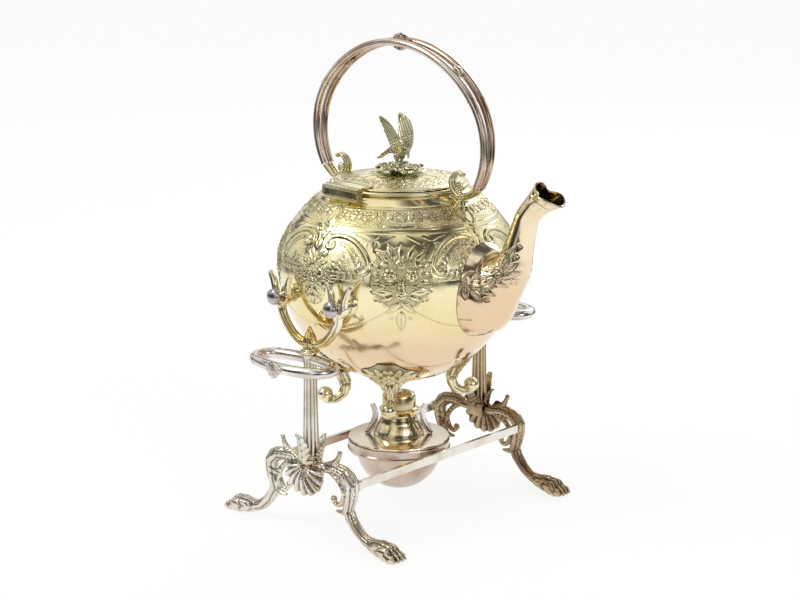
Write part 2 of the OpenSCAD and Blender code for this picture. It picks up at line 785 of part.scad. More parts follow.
// Beads between the rods: the large one on top, a smaller one on each shoulder
side_bead_r = 5.2;
side_bead_turn = 37;
module flat_bead(radius, drop) {
    half = rod_gap / 2 - rod_r - run_gap - (radius + drop) * tan(rod_lean);
    rotate([90, 0, 0])
        rotate_extrude($fn = 48)
            intersection() {
                circle(r = radius, $fn = 48);
                translate([0, -half]) square([radius + 1, 2 * half]);
            }
}
module handle_beads() {
    color("rosybrown")
        translate([handle_x, 0, handle_top_z - top_arc_r]) {
            translate([0, 0, top_arc_r]) flat_bead(top_bead_r, 0);
            for (a = [-side_bead_turn, side_bead_turn])
                translate([top_arc_r * sin(a), 0, top_arc_r * cos(a)])
                    flat_bead(side_bead_r, top_arc_r * (1 - cos(a)));
        }
}

// Scroll that gathers both rods and stands on a post
scroll_low_z = mouth_z - 4.4;
function scroll_run(side) = [
    [rod_end_x + side * handle_x - rod_seat(side) * sin(rod_end_angle),
        rod_end_z - rod_seat(side) * cos(rod_end_angle), rod_r + 0.2, 2 * rod_r + 0.6],
    [rod_end_x + side * handle_x - 4, rod_end_z - 4.3, rod_r + 0.2, 2 * rod_r],
    [post_x + 4, scroll_low_z + 1, 3, 5.4],
    [post_x - 2, scroll_low_z + 0.6, 2.8, 4.6],
    [post_x - 9.2, scroll_low_z + 6.8, 2.5, 4.4],
    [post_x - 8.8, scroll_low_z + 14.4, 2.2, 4.2],
    [post_x - 3.6, scroll_low_z + 18.8, 1.7, 3.8],
    [post_x + 1, scroll_low_z + 17, 0.8, 3.2]
];
module handle_scroll(side) {
    color("khaki")
        mirror([side < 0 ? 1 : 0, 0, 0])
            branch(scroll_run(side), 8);
}
module handle_scroll_front() { handle_scroll(1); }
module handle_scroll_rear() { handle_scroll(-1); }

post_top_z = scroll_low_z - 2.6;
module handle_post(side) {
    x = side * post_x;
    foot_z = shoulder_z(post_x) - 4;
    color("khaki")
        difference() {
            translate([x, 0, foot_z]) {
                cylinder(r = 3, h = post_top_z - foot_z, $fn = 32);
                cylinder(r = 4.8, h = 4.8, $fn = 32);
            }
            body_solid(0.1);
        }
}
module handle_post_front() { handle_post(1); }
module handle_post_rear() { handle_post(-1); }

// Lid hinge: its frame has X along the pin and -Y away from the kettle
hinge_r = neck_r + bead_r + barrel_r + 0.9;
hinge_z = mouth_z + 1.4;
leaf_len = 13.4;
module at_hinge() {
    rotate([0, 0, -hinge_turn])
        translate([0, -hinge_r, hinge_z])
            children();
}
module barrel(from, to) {
    translate([from, 0, 0])
        rotate([0, 90, 0])
            cylinder(r = barrel_r, h = to - from, $fn = 36);
}
module hinge_block() {
    half = hinge_len / 2;
    color("darkkhaki")
        difference() {
            at_hinge()
                union() {
                    for (m = [0, 1])
                        mirror([m, 0, 0]) {
                            barrel(leaf_len / 2 + seat_gap, half);
                            translate([leaf_len / 2 + seat_gap, -barrel_r, -barrel_r - 1])
                                cube([half - leaf_len / 2 - seat_gap, 2 * barrel_r, barrel_r + 1]);
                        }
                    translate([-half, -barrel_r - 0.4, -barrel_r - 5.4])
                        cube([hinge_len, 2 * barrel_r + 0.8, 5.4 - seat_gap]);
                }
            body_solid(0.1);
            cylinder(r = neck_r + bead_r + 0.3, h = mouth_z + 0.1, $fn = 120);
            at_hinge()
                translate([-half - 1, 0, 0])
                    rotate([0, 90, 0])
                        cylinder(r = hinge_pin_r + run_gap, h = hinge_len + 2, $fn = 24);
        }
}
module hinge_pin() {
    color("silver")
        at_hinge()
            translate([-hinge_len / 2, 0, 0])
                rotate([0, 90, 0])
                    cylinder(r = hinge_pin_r, h = hinge_len, $fn = 24);
}

// Lid: a thin domed disc with a flange that drops into the mouth
lid_t = 1.3;
stud_r = 1.6;
function lid_top_z(r) = mouth_z + seat_gap + lid_t + lid_rise * (1 - pow(r / lid_r, 2));
module lid() {
    color("khaki")
        difference() {
            rotate_extrude($fn = 120)
                polygon(concat(
                    [for (k = [0 : 10]) let (r = lid_r * k / 10) [r, lid_top_z(r)]],
                    [[lid_r, mouth_z + seat_gap], [mouth_r - 0.7, mouth_z + seat_gap],
                        [mouth_r - 0.7, mouth_z - 6], [mouth_r - 1.8, mouth_z - 6]],
                    [for (k = [10 : -1 : 0])
                        let (r = (mouth_r - 1.8) * k / 10) [r, lid_top_z(r) - lid_t]]));
            translate([0, 0, mouth_z]) cylinder(r = stud_r + run_gap, h = 30, $fn = 24);
        }
}
// Leaf soldered on the lid: a plate that follows the lid and a tongue with the middle barrel
leaf_t = 1.3;
leaf_depth = 9;
module lid_leaf() {
    color("darkkhaki")
        difference() {
            union() {
                at_hinge()
                    union() {
                        barrel(-leaf_len / 2, leaf_len / 2);
                        translate([-leaf_len / 2, 0, mouth_z + 0.9 - hinge_z])
                            cube([leaf_len, hinge_r - lid_r - 0.6, 1.8]);
                    }
                intersection() {
                    rotate_extrude($fn = 120)
                        polygon(concat(
                            [for (k = [8 : 0.5 : 10]) let (r = lid_r * k / 10)
                                [r, lid_top_z(r) + leaf_t]],
                            [[lid_r + 1.5, mouth_z + 2.9], [lid_r + 1.5, mouth_z + 0.9],
                                [lid_r + 0.1, mouth_z + 0.9]],
                            [for (k = [10 : -0.5 : 8]) let (r = lid_r * k / 10)
                                [r + (k == 10 ? 0.1 : 0), lid_top_z(r) + run_gap]]));
                    at_hinge()
                        translate([2 - hinge_len / 2, hinge_r - lid_r - 2, -2])
                            cube([hinge_len - 4, leaf_depth + 2, 9]);
                }
            }
            at_hinge()
                rotate([0, 90, 0])
                    translate([0, 0, -leaf_len])
                        cylinder(r = hinge_pin_r + run_gap, h = 2 * leaf_len, $fn = 24);
        }
}

// Finial: a rocky mound with leaves, screwed through the lid, under an eagle
rock_z = lid_top_z(0) + joint_gap;
rock_h = 7;
perch_z = rock_z + rock_h;
module finial_rock() {
    color("khaki") {
        translate([0, 0, rock_z - 6.4]) cylinder(r = stud_r, h = 7, $fn = 24);
        rotate_extrude($fn = 40)
            polygon([[0, rock_z + 0.2], [7.5, rock_z + 0.2], [5, rock_z + 2.4],
                [8, rock_z + 3.6], [6, rock_z + rock_h], [0, rock_z + rock_h]]);
        // Leaves round the mound
        for (k = [0 : 6])
            rotate([0, 0, 360 * k / 7])
                branch([
                    [3, perch_z - 3.6, 1.6, 3],
                    [10, perch_z - 3, 1.4, 4.2],
                    [14 + 2 * cos(720 * k / 7), perch_z - 2.4, 1.3, 3.4],
                    [17.4 + 3 * cos(720 * k / 7), perch_z - 4, 0.6, 1]], 6);
    }
}
module finial_nut() {
    color("darkkhaki")
        translate([0, 0, rock_z - lid_t - 3.1])
            difference() {
                cylinder(r = 4.4, h = 2.6, $fn = 6);
                translate([0, 0, -1]) cylinder(r = stud_r + run_gap, h = 5, $fn = 24);
            }
}

// Eagle that faces the spout, with raised wings
bird_z = perch_z + 10;
wing_stations = [
    [0, 2.6, -0.5, 4.2, 1.6], [0.8, 5.2, 5.5, 6.4, 1.4], [-1, 7.6, 12, 6.8, 1.2],
    [-4, 9.4, 18.5, 5.4, 1], [-7.4, 10.6, 23.2, 3.2, 0.8], [-9, 11.2, 25.4, 1, 0.5]
];
function wing_ring(s) = [
    for (j = [0 : 7])
        let (a = -45 * j)
        [s[0] + s[3] * cos(a), s[1] + s[4] * sin(a), s[2] - 0.35 * s[3] * cos(a)]
];
module eagle() {
    color("khaki")
        translate([0, 0, bird_z]) {
            // Body from the tail to the breast, neck, head and hooked beak
            branch([
                [-20.5, -8.4, 0.8, 4.2], [-14.5, -4, 1.3, 3], [-8.5, -0.8, 2.6, 2.8],
                [-3, 0.6, 4.6, 4.4], [2.4, 0.4, 4.8, 4.2], [5.6, 1.4, 3, 2.9],
                [7.8, 0.4, 2.7, 2.5], [9.8, -2.2, 1.4, 1.2], [9.8, -5.4, 0.5, 0.5]], 10);
            for (m = [0, 1])
                mirror([0, m, 0]) {
                    skin([for (s = wing_stations) wing_ring(s)]);
                    translate([0, 2.6, 0])
                        branch([[1, -2.4, 2.4, 2], [0.2, -6, 1.4, 1.4], [1, -9.6, 1.6, 1.8]], 6);
                }
        }
}

// Lamp bowl: the reservoir for the spirit
bowl_mid_z = ring_low_z;
module lamp_bowl() {
    color("pink")
        rotate_extrude($fn = 96)
            polygon(concat(
                [for (k = [0 : 12]) let (a = 90 - 7.5 * k)
                    [bowl_r * cos(a), bowl_mid_z - bowl_h * sin(a)]],
                [[bowl_r, cover_z - joint_gap], [bowl_r - 1.2, cover_z - joint_gap]],
                [for (k = [12 : -1 : 0]) let (a = 90 - 7.5 * k)
                    [(bowl_r - 1.2) * cos(a), bowl_mid_z - (bowl_h - 1.2) * sin(a)]]));
}

// Cover of the lamp, with the lip that centres it in the ring
tube_r = wick_r + 0.9;
module lamp_cover() {
    low = cover_z;
    color("pink")
        difference() {
            rotate_extrude($fn = 96)
                polygon([
                    [0, low], [lamp_bore_r - 1.4, low], [lamp_bore_r - 1.4, low - 3],
                    [lamp_bore_r - 0.4, low - 3], [lamp_bore_r - 0.4, low], [cover_r, low],
                    [cover_r + 0.4, low + 0.8], [cover_r, low + 1.6], [cover_r - 2, low + 1.8],
                    [24, low + cover_t], [0, low + cover_t]]);
            translate([0, 0, low - 1]) cylinder(r = tube_r + run_gap, h = 5, $fn = 48);
        }
}

// Burner: a bell with the upright tube that the regulator turns on
module burner() {
    foot_r = burner_r + 9.4;
    color("gold")
        rotate_extrude($fn = 72)
            polygon([
                [foot_r - 1.2, dome_z], [foot_r, dome_z], [foot_r, dome_z + 1],
                [foot_r - 0.8, dome_z + 4.4], [foot_r - 2.8, dome_z + 8.6],
                [foot_r - 4.4, dome_z + 11.6], [foot_r - 4.9, dome_z + dome_h],
                [burner_r, dome_z + dome_h], [burner_r, lamp_top_z - 3.2],
                [burner_r - 1.2, lamp_top_z - 3.2], [burner_r - 1.2, dome_z + dome_h - 1.2],
                [foot_r - 6, dome_z + dome_h - 1.2], [foot_r - 5.5, dome_z + 11.2],
                [foot_r - 4, dome_z + 8], [foot_r - 2, dome_z + 4],
                [foot_r - 1.2, dome_z + 1]]);
}

wick_top_z = lamp_top_z - 4;
tube_low_z = bowl_mid_z - bowl_h * 0.55;
module wick_tube() {
    color("gold")
        difference() {
            union() {
                translate([0, 0, tube_low_z])
                    cylinder(r = tube_r, h = wick_top_z - 1 - tube_low_z, $fn = 48);
                translate([0, 0, dome_z]) cylinder(r = tube_r + 1.5, h = 1.4, $fn = 48);
            }
            translate([0, 0, tube_low_z - 1])
                cylinder(r = wick_r + run_gap, h = wick_top_z - tube_low_z + 2, $fn = 48);
        }
}
module wick() {
    low = bowl_mid_z - bowl_h + 3.5;
    color("white")
        translate([0, 0, low]) cylinder(r = wick_r, h = wick_top_z - low, $fn = 48);
}

// Regulator: a ring that turns on the burner tube, with a lever and a finger ring
reg_turn = -8;
lever_r = 0.9;
lever_reach = 10.5;
module regulator() {
    ring_mid = burner_r + 3.4;
    drop = reg_h / 2 + 5;
    color("darkgoldenrod") {
        translate([0, 0, reg_z])
            rotate_extrude($fn = 72)
                polygon([
                    [burner_r + run_gap, 0], [ring_mid, 0], [ring_mid - 0.9, reg_h / 2],
                    [ring_mid, reg_h], [burner_r + run_gap, reg_h]]);
        rotate([0, 0, reg_turn])
            translate([burner_r + 2, 0, reg_z + reg_h / 2])
                rotate([0, 180 - atan2(lever_reach, drop), 0]) {
                    length = norm([lever_reach, drop]);
                    cylinder(r = lever_r, h = length, $fn = 24);
                    translate([0, 0, length + 2])
                        rotate([90, 0, 0])
                            rotate_extrude($fn = 32)
                                translate([2.3, 0])
                                    circle(r = 0.8, $fn = 16);
                }
    }
}

// Snuffer cap over the burner tube
snuff_r = burner_r + 2.2;
module snuffer() {
    top = snuff_h;
    color("beige")
        translate([0, 0, snuff_z])
            rotate_extrude($fn = 72)
                polygon([
                    [snuff_r - snuff_wall, 0], [snuff_r + 2.2, 0], [snuff_r + 2.6, 0.9],
                    [snuff_r + 1.4, 1.9], [snuff_r, 2.5], [snuff_r, top - 2.6],
                    [snuff_r - 0.6, top - 1.2], [snuff_r - 2.2, top - 0.5], [0, top],
                    [0, top - snuff_wall], [snuff_r - 3, top - 0.5 - snuff_wall],
                    [snuff_r - snuff_wall, top - 2.8]]);
}

// Straps: springy S strips that stand on the cover beside the burner
strap_turn = 42;
strap_run = [
    [burner_r + 15.5, dome_z + 0.55, 0.5, 2.6],
    [burner_r + 12.4, dome_z + 1.3, 0.5, 2.6],
    [burner_r + 9.4, dome_z + 8, 0.5, 2.6],
    [burner_r + 7.6, dome_z + 14, 0.5, 2.6],
    [burner_r + 7.9, dome_z + 20, 0.5, 2.6],
    [burner_r + 10, dome_z + 25.5, 0.5, 2.6]
];
module strap(turn) {
    color("silver")
        rotate([0, 0, turn])
            branch(strap_run, 8);
}
module strap_left() { strap(strap_turn + 180); }
module strap_right() { strap(strap_turn); }

leg_near_left();
leg_near_right();
leg_far_left();
leg_far_right();
plinth_near();
plinth_far();
shell_near();
shell_far();
column_near();
column_far();
leaves_near();
leaves_far();
cradle_near();
cradle_far();
ring_handle_near();
ring_handle_far();
ring_shell_near();
ring_shell_far();
bar_front();
bar_rear();
lamp_ring();
pin_front_near();
pin_front_far();
pin_rear_near();
pin_rear_far();
kettle_bowl();
kettle_shoulder();
neck_bead();
spout();
foot_front_near();
foot_front_far();
foot_rear_near();
foot_rear_far();
handle_rod_near();
handle_rod_far();
handle_beads();
handle_scroll_front();
handle_scroll_rear();
handle_post_front();
handle_post_rear();
hinge_block();
hinge_pin();
lid();
lid_leaf();
finial_rock();
eagle();
finial_nut();
lamp_bowl();
lamp_cover();
burner();
wick_tube();
wick();
regulator();
snuffer();
strap_left();
strap_right();
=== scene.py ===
"""Looks for the spirit kettle on its stand: chased body, castings, lamp and plate finishes."""
import json
import math

import bpy
import numpy as np
from mathutils import Matrix, Vector


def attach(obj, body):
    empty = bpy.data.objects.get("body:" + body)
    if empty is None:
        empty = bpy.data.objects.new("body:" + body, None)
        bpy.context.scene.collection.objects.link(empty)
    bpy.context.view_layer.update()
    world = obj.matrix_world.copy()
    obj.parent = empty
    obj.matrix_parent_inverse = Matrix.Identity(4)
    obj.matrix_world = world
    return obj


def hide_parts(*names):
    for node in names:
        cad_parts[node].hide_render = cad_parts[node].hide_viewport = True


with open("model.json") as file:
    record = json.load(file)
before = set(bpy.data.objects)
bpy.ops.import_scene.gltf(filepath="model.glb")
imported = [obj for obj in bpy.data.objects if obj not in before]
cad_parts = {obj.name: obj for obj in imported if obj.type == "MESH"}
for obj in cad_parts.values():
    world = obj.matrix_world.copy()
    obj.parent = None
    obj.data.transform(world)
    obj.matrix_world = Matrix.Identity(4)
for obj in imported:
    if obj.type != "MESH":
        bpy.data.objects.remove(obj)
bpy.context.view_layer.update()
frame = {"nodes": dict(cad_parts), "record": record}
MM = 0.001

# Sizes of the kettle and its stand, in millimetres, as in the construction model
BODY_R = 95.5
BODY_LOW = 98.5
BODY_Z = 203.5
SHOULDER_H = 76.4
SHOULDER_FULL = 1.7
NECK_R = 53.5
MOUTH_Z = 264.93
MOUTH_R = 48.5
WALL = 1.4
PIN_X = 30.0
PIN_Z = 186.0
SUPPORT_Y = 100.0
ENDS = {"near": 1, "far": -1}
FOOT_ANGLES = {"foot_front_near": -55.5, "foot_front_far": 55.5,
               "foot_rear_near": -124.5, "foot_rear_far": 124.5}
# The bail handle's arc: its middle, top and radius, and how far out the side beads are
HANDLE_X = 2
HANDLE_TOP = 373.93
HANDLE_R = 95
BEAD_OUT = 57.2


# ---------------------------------------------------------------- shader graphs
class Graph:
    """Shader nodes of one material or world; a socket takes a constant or another's output."""

    def __init__(self, owner):
        owner.use_nodes = True
        self.nodes, self.links = owner.node_tree.nodes, owner.node_tree.links

    def feed(self, node, inputs):
        for socket, value in inputs.items():
            if isinstance(value, bpy.types.NodeSocket):
                self.links.new(value, node.inputs[socket])
            else:
                node.inputs[socket].default_value = value

    def add(self, kind, inputs=None, **settings):
        node = self.nodes.new("ShaderNode" + kind)
        for name, value in settings.items():
            setattr(node, name, value)
        self.feed(node, inputs or {})
        return node

    def math(self, kind, first, second, clamp=False):
        return self.add("Math", {0: first, 1: second}, operation=kind,
                        use_clamp=clamp).outputs[0]

    def remap(self, value, low, high, from_low, from_high):
        """A smooth step between two results while the value runs from low to high."""
        return self.add("MapRange", {"Value": value, "From Min": low, "From Max": high,
                                     "To Min": from_low, "To Max": from_high},
                        interpolation_type="SMOOTHSTEP").outputs[0]

    def blend(self, factor, first, second):
        first, second = [(*c, 1) if isinstance(c, tuple) else c for c in (first, second)]
        return self.add("Mix", {"Factor": factor, 6: first, 7: second},
                        data_type="RGBA").outputs[2]

    def object_place(self):
        return self.add("TexCoord").outputs["Object"]

    def seen_rays(self):
        """One for the rays of the eye, of a reflection and through glass."""
        path = self.add("LightPath").outputs
        share = path["Is Camera Ray"]
        for kind in ("Is Glossy Ray", "Is Transmission Ray"):
            share = self.math("MAXIMUM", share, path[kind])
        return share


def new_paint(name):
    """A new material, its graph and the shader that it starts with."""
    paint = bpy.data.materials.new(name)
    graph = Graph(paint)
    return paint, graph, graph.nodes["Principled BSDF"]


def into_scene(name, data):
    piece = bpy.data.objects.new(name, data)
    bpy.context.scene.collection.objects.link(piece)
    return piece


# ---------------------------------------------------------------- camera and stage
# The camera as fitted to the photograph: degrees, metres and pixels of an 800-pixel width
VIEW_AZIMUTH = 42.45
VIEW_PITCH = 13.28
VIEW_AIM = (0, 0, 0.1899)
VIEW_DISTANCE = 1.528
VIEW_WIDTH = 800
VIEW_FOCUS = 1929.9
VIEW_SHIFT = (1.1, -26.06)
SENSOR = 36

# Lamps: place, aim, size, power and colour
LAMPS = {
    "key_light": ((-0.9, -1.3, 1.7), (0, 0, 0.18), 0.9, 14, (1, 0.99, 0.97)),
    "side_light": ((1.9, -0.3, 1.1), (0, 0, 0.2), 0.8, 9, (1, 0.99, 0.98)),
    "back_light": ((-0.6, 1.8, 1.3), (0, 0, 0.2), 0.9, 9, (0.98, 0.99, 1)),
}
WHITE = (1, 1, 1, 1)
ROOM_COLOUR = (0.99, 0.985, 0.98, 1)
ROOM_LIGHT = 0.85

# Dark cloths: how open they are by height, and where, how wide and how open their dark middles are
CLOTH_RADIUS = 0.8
CLOTH_COLOUR = (0.030, 0.026, 0.022, 1)
OPEN_LOW = 0.52
OPEN_BY_HEIGHT = ((0.08, 0.34), (0.28, 0.66), (0.55, 1.0))
DARK_MIDDLES = (((0.66, -0.74, 0.16), 0.985, 0.90, 0.03),
                ((-0.45, -0.88, 0.12), 0.97, 0.90, 0.10),
                ((0.97, 0.20, 0.14), 0.975, 0.91, 0.10))

FLOOR_RADIUS = 6
FLOOR_COLOUR = (0.90, 0.895, 0.89, 1)
FLOOR_GLOW = 0.84


def place_camera():
    azimuth = math.radians(VIEW_AZIMUTH)
    pitch = math.radians(VIEW_PITCH)
    forward = Vector((-math.sin(azimuth) * math.cos(pitch),
                      math.cos(azimuth) * math.cos(pitch), -math.sin(pitch)))
    right = Vector((math.cos(azimuth), math.sin(azimuth), 0))
    up = right.cross(forward)
    eye = Vector(VIEW_AIM) - forward * VIEW_DISTANCE
    data = bpy.data.cameras.new("photo_camera")
    data.sensor_width = SENSOR
    data.lens = VIEW_FOCUS / VIEW_WIDTH * SENSOR
    data.shift_x = VIEW_SHIFT[0] / VIEW_WIDTH
    data.shift_y = VIEW_SHIFT[1] / VIEW_WIDTH
    camera = into_scene("photo_camera", data)
    camera.matrix_world = Matrix((
        (right.x, up.x, -forward.x, eye.x),
        (right.y, up.y, -forward.y, eye.y),
        (right.z, up.z, -forward.z, eye.z),
        (0, 0, 0, 1)))
    bpy.context.scene.camera = camera


def soft_light(name, place, aim, size, power, colour):
    data = bpy.data.lights.new(name, "AREA")
    data.shape = "DISK"
    data.size = size
    data.energy = power
    data.color = colour
    light = into_scene(name, data)
    light.location = place
    light.rotation_euler = (Vector(aim) - Vector(place)).to_track_quat("-Z", "Y").to_euler()


def studio():
    """White room for the eye and for the metal; plain light for everything else."""
    bpy.context.scene.view_settings.view_transform = "Standard"
    world = bpy.data.worlds.new("studio")
    bpy.context.scene.world = world
    room = Graph(world)
    room.nodes.clear()
    out = room.add("OutputWorld")
    plain = room.add("Background", {"Color": ROOM_COLOUR, "Strength": ROOM_LIGHT})
    white = room.add("Background", {"Color": WHITE})
    pick = room.add("MixShader", {0: room.seen_rays(), 1: plain.outputs[0], 2: white.outputs[0]})
    room.feed(out, {0: pick.outputs[0]})
    for name, settings in LAMPS.items():
        soft_light(name, *settings)


def screens():
    """Dark cloths hung round the table, soft at their edges, that the polished metal shows."""
    clear_selection()
    bpy.ops.mesh.primitive_uv_sphere_add(segments=64, ring_count=32, radius=CLOTH_RADIUS)
    cloth = bpy.context.object
    cloth.name = "dark_screens"
    paint, graph, _ = new_paint("dark_cloth")
    line = graph.add("VectorMath", {0: graph.object_place()}, operation="NORMALIZE").outputs[0]
    height = graph.add("ValToRGB", {0: graph.add("SeparateXYZ", {0: line}).outputs["Z"]})
    ramp = height.color_ramp
    ramp.elements[0].color = (OPEN_LOW, OPEN_LOW, OPEN_LOW, 1)
    ramp.elements[1].color = WHITE
    for place, share in OPEN_BY_HEIGHT:
        ramp.elements.new(place).color = (share, share, share, 1)
    folds = graph.add("TexNoise", {"Vector": line, "Scale": 1.9, "Detail": 2.0}).outputs["Fac"]
    open_share = graph.math("MULTIPLY", height.outputs[0],
                            graph.remap(folds, 0.415, 0.525, 0.06, 1.0))
    for direction, inner, outer, left in DARK_MIDDLES:
        near = graph.add("VectorMath", {0: line, 1: Vector(direction).normalized()},
                         operation="DOT_PRODUCT").outputs["Value"]
        open_share = graph.math("MULTIPLY", open_share,
                                graph.remap(near, outer, inner, 1.0, left))
    dark = graph.add("Emission", {"Color": CLOTH_COLOUR})
    clear = graph.add("BsdfTransparent")
    mix = graph.add("MixShader", {0: open_share, 1: dark.outputs[0], 2: clear.outputs[0]})
    graph.feed(graph.nodes["Material Output"], {0: mix.outputs[0]})
    cloth.data.materials.append(paint)
    for kind in ("camera", "diffuse", "shadow", "volume_scatter"):
        setattr(cloth, "visible_" + kind, False)


def floor():
    """A pale floor that keeps the part's shadow and is white to the eye."""
    clear_selection()
    bpy.ops.mesh.primitive_circle_add(vertices=96, radius=FLOOR_RADIUS, fill_type="NGON")
    ground = bpy.context.object
    ground.name = "floor"
    paint, graph, shader = new_paint("pale_floor")
    graph.feed(shader, {"Base Color": FLOOR_COLOUR, "Roughness": 0.9, "Specular IOR Level": 0.1})
    glow = graph.add("Emission", {"Color": WHITE})
    share = graph.math("MULTIPLY", graph.seen_rays(), FLOOR_GLOW)
    mix = graph.add("MixShader", {0: share, 1: shader.outputs[0], 2: glow.outputs[0]})
    graph.feed(graph.nodes["Material Output"], {0: mix.outputs[0]})
    ground.data.materials.append(paint)


# ---------------------------------------------------------------- finishes
CHASED_SHADE_AND_TARNISH = (0.055, 0.045, 0.02)
# Each finish: its material's name, its light and its deep colour, and what else sets it apart
FINISHES = {
    "kettle_plate": ("chased_plate", (0.94, 0.87, 0.56), (0.86, 0.74, 0.38),
                     dict(low=(0.84, 0.64, 0.42), low_z=(0.140, 0.190), roughness=(0.09, 0.18),
                          shade_and_tarnish=0.85, dents=0.05, chased=True, shade_and_tarnish_colour=CHASED_SHADE_AND_TARNISH)),
    "spout_plate": ("spout_plate", (0.92, 0.80, 0.56), (0.78, 0.62, 0.40),
                    dict(low=(0.84, 0.62, 0.40), low_z=(0.185, 0.225), roughness=(0.09, 0.18),
                         shade_and_tarnish=0.85, dents=0.05, chased=True, shade_and_tarnish_colour=CHASED_SHADE_AND_TARNISH)),
    "kettle_trim": ("kettle_trim_plate", (0.90, 0.84, 0.58), (0.74, 0.62, 0.34),
                    dict(roughness=(0.12, 0.26), shade_and_tarnish=0.88, shade_and_tarnish_colour=(0.05, 0.04, 0.02))),
    "handle_plate": ("handle_rod_plate", (0.80, 0.71, 0.60), (0.48, 0.33, 0.24),
                     dict(shade_and_tarnish=0.5, dents=0.05)),
    # A darker copy of the handle rods' finish for the far rod: painted shade
    "handle_shaded": ("handle_rod_painted_shade", (0.66, 0.52, 0.40), (0.40, 0.26, 0.18),
                   dict(shade_and_tarnish=0.6, dents=0.05)),
    "stand_plate": ("cast_stand_plate", (0.86, 0.83, 0.75), (0.68, 0.57, 0.42),
                    dict(roughness=(0.12, 0.28), shade_and_tarnish=0.92, dents=0.10,
                         shade_and_tarnish_colour=(0.045, 0.030, 0.022))),
    # A darker copy of the stand's finish for its far end: painted shade
    "stand_shaded": ("cast_stand_painted_shade", (0.56, 0.44, 0.26), (0.26, 0.17, 0.10),
                  dict(roughness=(0.12, 0.28), shade_and_tarnish=0.95, dents=0.10,
                       shade_and_tarnish_colour=(0.030, 0.020, 0.015))),
    "gilt_plate": ("gilt_plate", (0.93, 0.87, 0.66), (0.72, 0.54, 0.20),
                   dict(roughness=(0.10, 0.24), shade_and_tarnish=0.85, dents=0.05,
                        shade_and_tarnish_colour=(0.06, 0.04, 0.015))),
    "ring_plate": ("ring_plate", (0.86, 0.84, 0.80), (0.66, 0.56, 0.50),
                   dict(shade_and_tarnish=0.5, dents=0.05)),
    "lamp_plate": ("lamp_plate", (0.66, 0.55, 0.46), (0.46, 0.35, 0.28),
                   dict(shade_and_tarnish=0.6, dents=0.05)),
    "lamp_cover": ("lamp_cover_plate", (0.88, 0.79, 0.62), (0.74, 0.58, 0.42),
                   dict(roughness=(0.08, 0.18), shade_and_tarnish=0.6, dents=0.05)),
    "finial_plate": ("finial_plate", (0.70, 0.66, 0.46), (0.50, 0.44, 0.26),
                     dict(roughness=(0.16, 0.30), shade_and_tarnish=1.0, shade_and_tarnish_colour=(0.03, 0.025, 0.012))),
    "pin_plate": ("pin_plate", (0.62, 0.58, 0.56), (0.38, 0.34, 0.33),
                  dict(roughness=(0.18, 0.30), shade_and_tarnish=0.6, dents=0.08)),
}
LOW_BLUR = 0.025


def plate_finish(name, light, deep, low=None, low_z=None, roughness=(0.12, 0.24),
                 shade_and_tarnish=0.5, dents=0.06, chased=False, shade_and_tarnish_colour=(0.10, 0.075, 0.05)):
    """Worn plated metal: cloudy colour, painted shade and tarnish in the hollows, rubbed edges,
    fine scratches.
    """
    paint, graph, shader = new_paint(name)
    place = graph.object_place()
    remap, blend = graph.remap, graph.blend

    def noise(scale, detail, rough=0.55, stretch=None):
        source = place
        if stretch:
            source = graph.add("Mapping", {"Vector": place, "Scale": stretch}).outputs["Vector"]
        return graph.add("TexNoise", {"Vector": source, "Scale": scale, "Detail": detail,
                                      "Roughness": rough}).outputs["Fac"]

    def join(kind, first, second):
        return graph.math(kind, first, second, clamp=kind != "MULTIPLY")

    def own(attribute):
        return graph.add("Attribute", attribute_name=attribute).outputs["Fac"]

    clouds = noise(26, 5)
    colour = blend(remap(clouds, 0.36, 0.66, 0, 1), light, deep)
    if low:
        height = graph.add("SeparateXYZ", {0: place}).outputs["Z"]
        wander = join("ADD", height, join("MULTIPLY", clouds, 2 * LOW_BLUR))
        colour = blend(remap(wander, low_z[0] + LOW_BLUR, low_z[1] + LOW_BLUR, 1, 0), colour, low)
    # Painted shade and tarnish: hollows found by Pointiness and by the hollow attribute are
    # darkened towards the shade-and-tarnish colour; the scattered spots are real tarnish
    hollow = remap(graph.add("NewGeometry").outputs["Pointiness"], 0.43, 0.497, 1, 0)
    hollow = join("MAXIMUM", hollow, own("hollow"))
    hollow_shade_and_tarnish = join("MULTIPLY", hollow, remap(noise(90, 3), 0.25, 0.7, shade_and_tarnish * 0.75, shade_and_tarnish))
    spots = join("MULTIPLY", remap(noise(160, 4, 0.7), 0.62, 0.78, 0, 1), 0.22)
    colour = blend(join("MAXIMUM", hollow_shade_and_tarnish, spots), colour, shade_and_tarnish_colour)
    rough = remap(noise(60, 4), 0.3, 0.7, *roughness)
    rough = join("ADD", rough, join("MULTIPLY", hollow, 0.2))
    height = join("MULTIPLY", noise(34, 3), dents)
    scratches = noise(900, 2, 0.6, (1, 1, 0.12))
    height = join("ADD", height, join("MULTIPLY", scratches, 0.012))
    if chased:
        ground = own("matting")
        stipple = graph.add("TexVoronoi", {"Vector": place, "Scale": 820})
        punches = remap(stipple.outputs["Distance"], 0.05, 0.5, 0, 0.30)
        height = join("ADD", height, join("MULTIPLY", punches, ground))
        rough = join("ADD", rough, join("MULTIPLY", ground, 0.10))
    bump = graph.add("Bump", {"Strength": 0.8, "Distance": 0.0012, "Height": height})
    graph.feed(shader, {"Metallic": 1.0, "Base Color": colour, "Roughness": rough,
                        "Normal": bump.outputs[0]})
    return paint


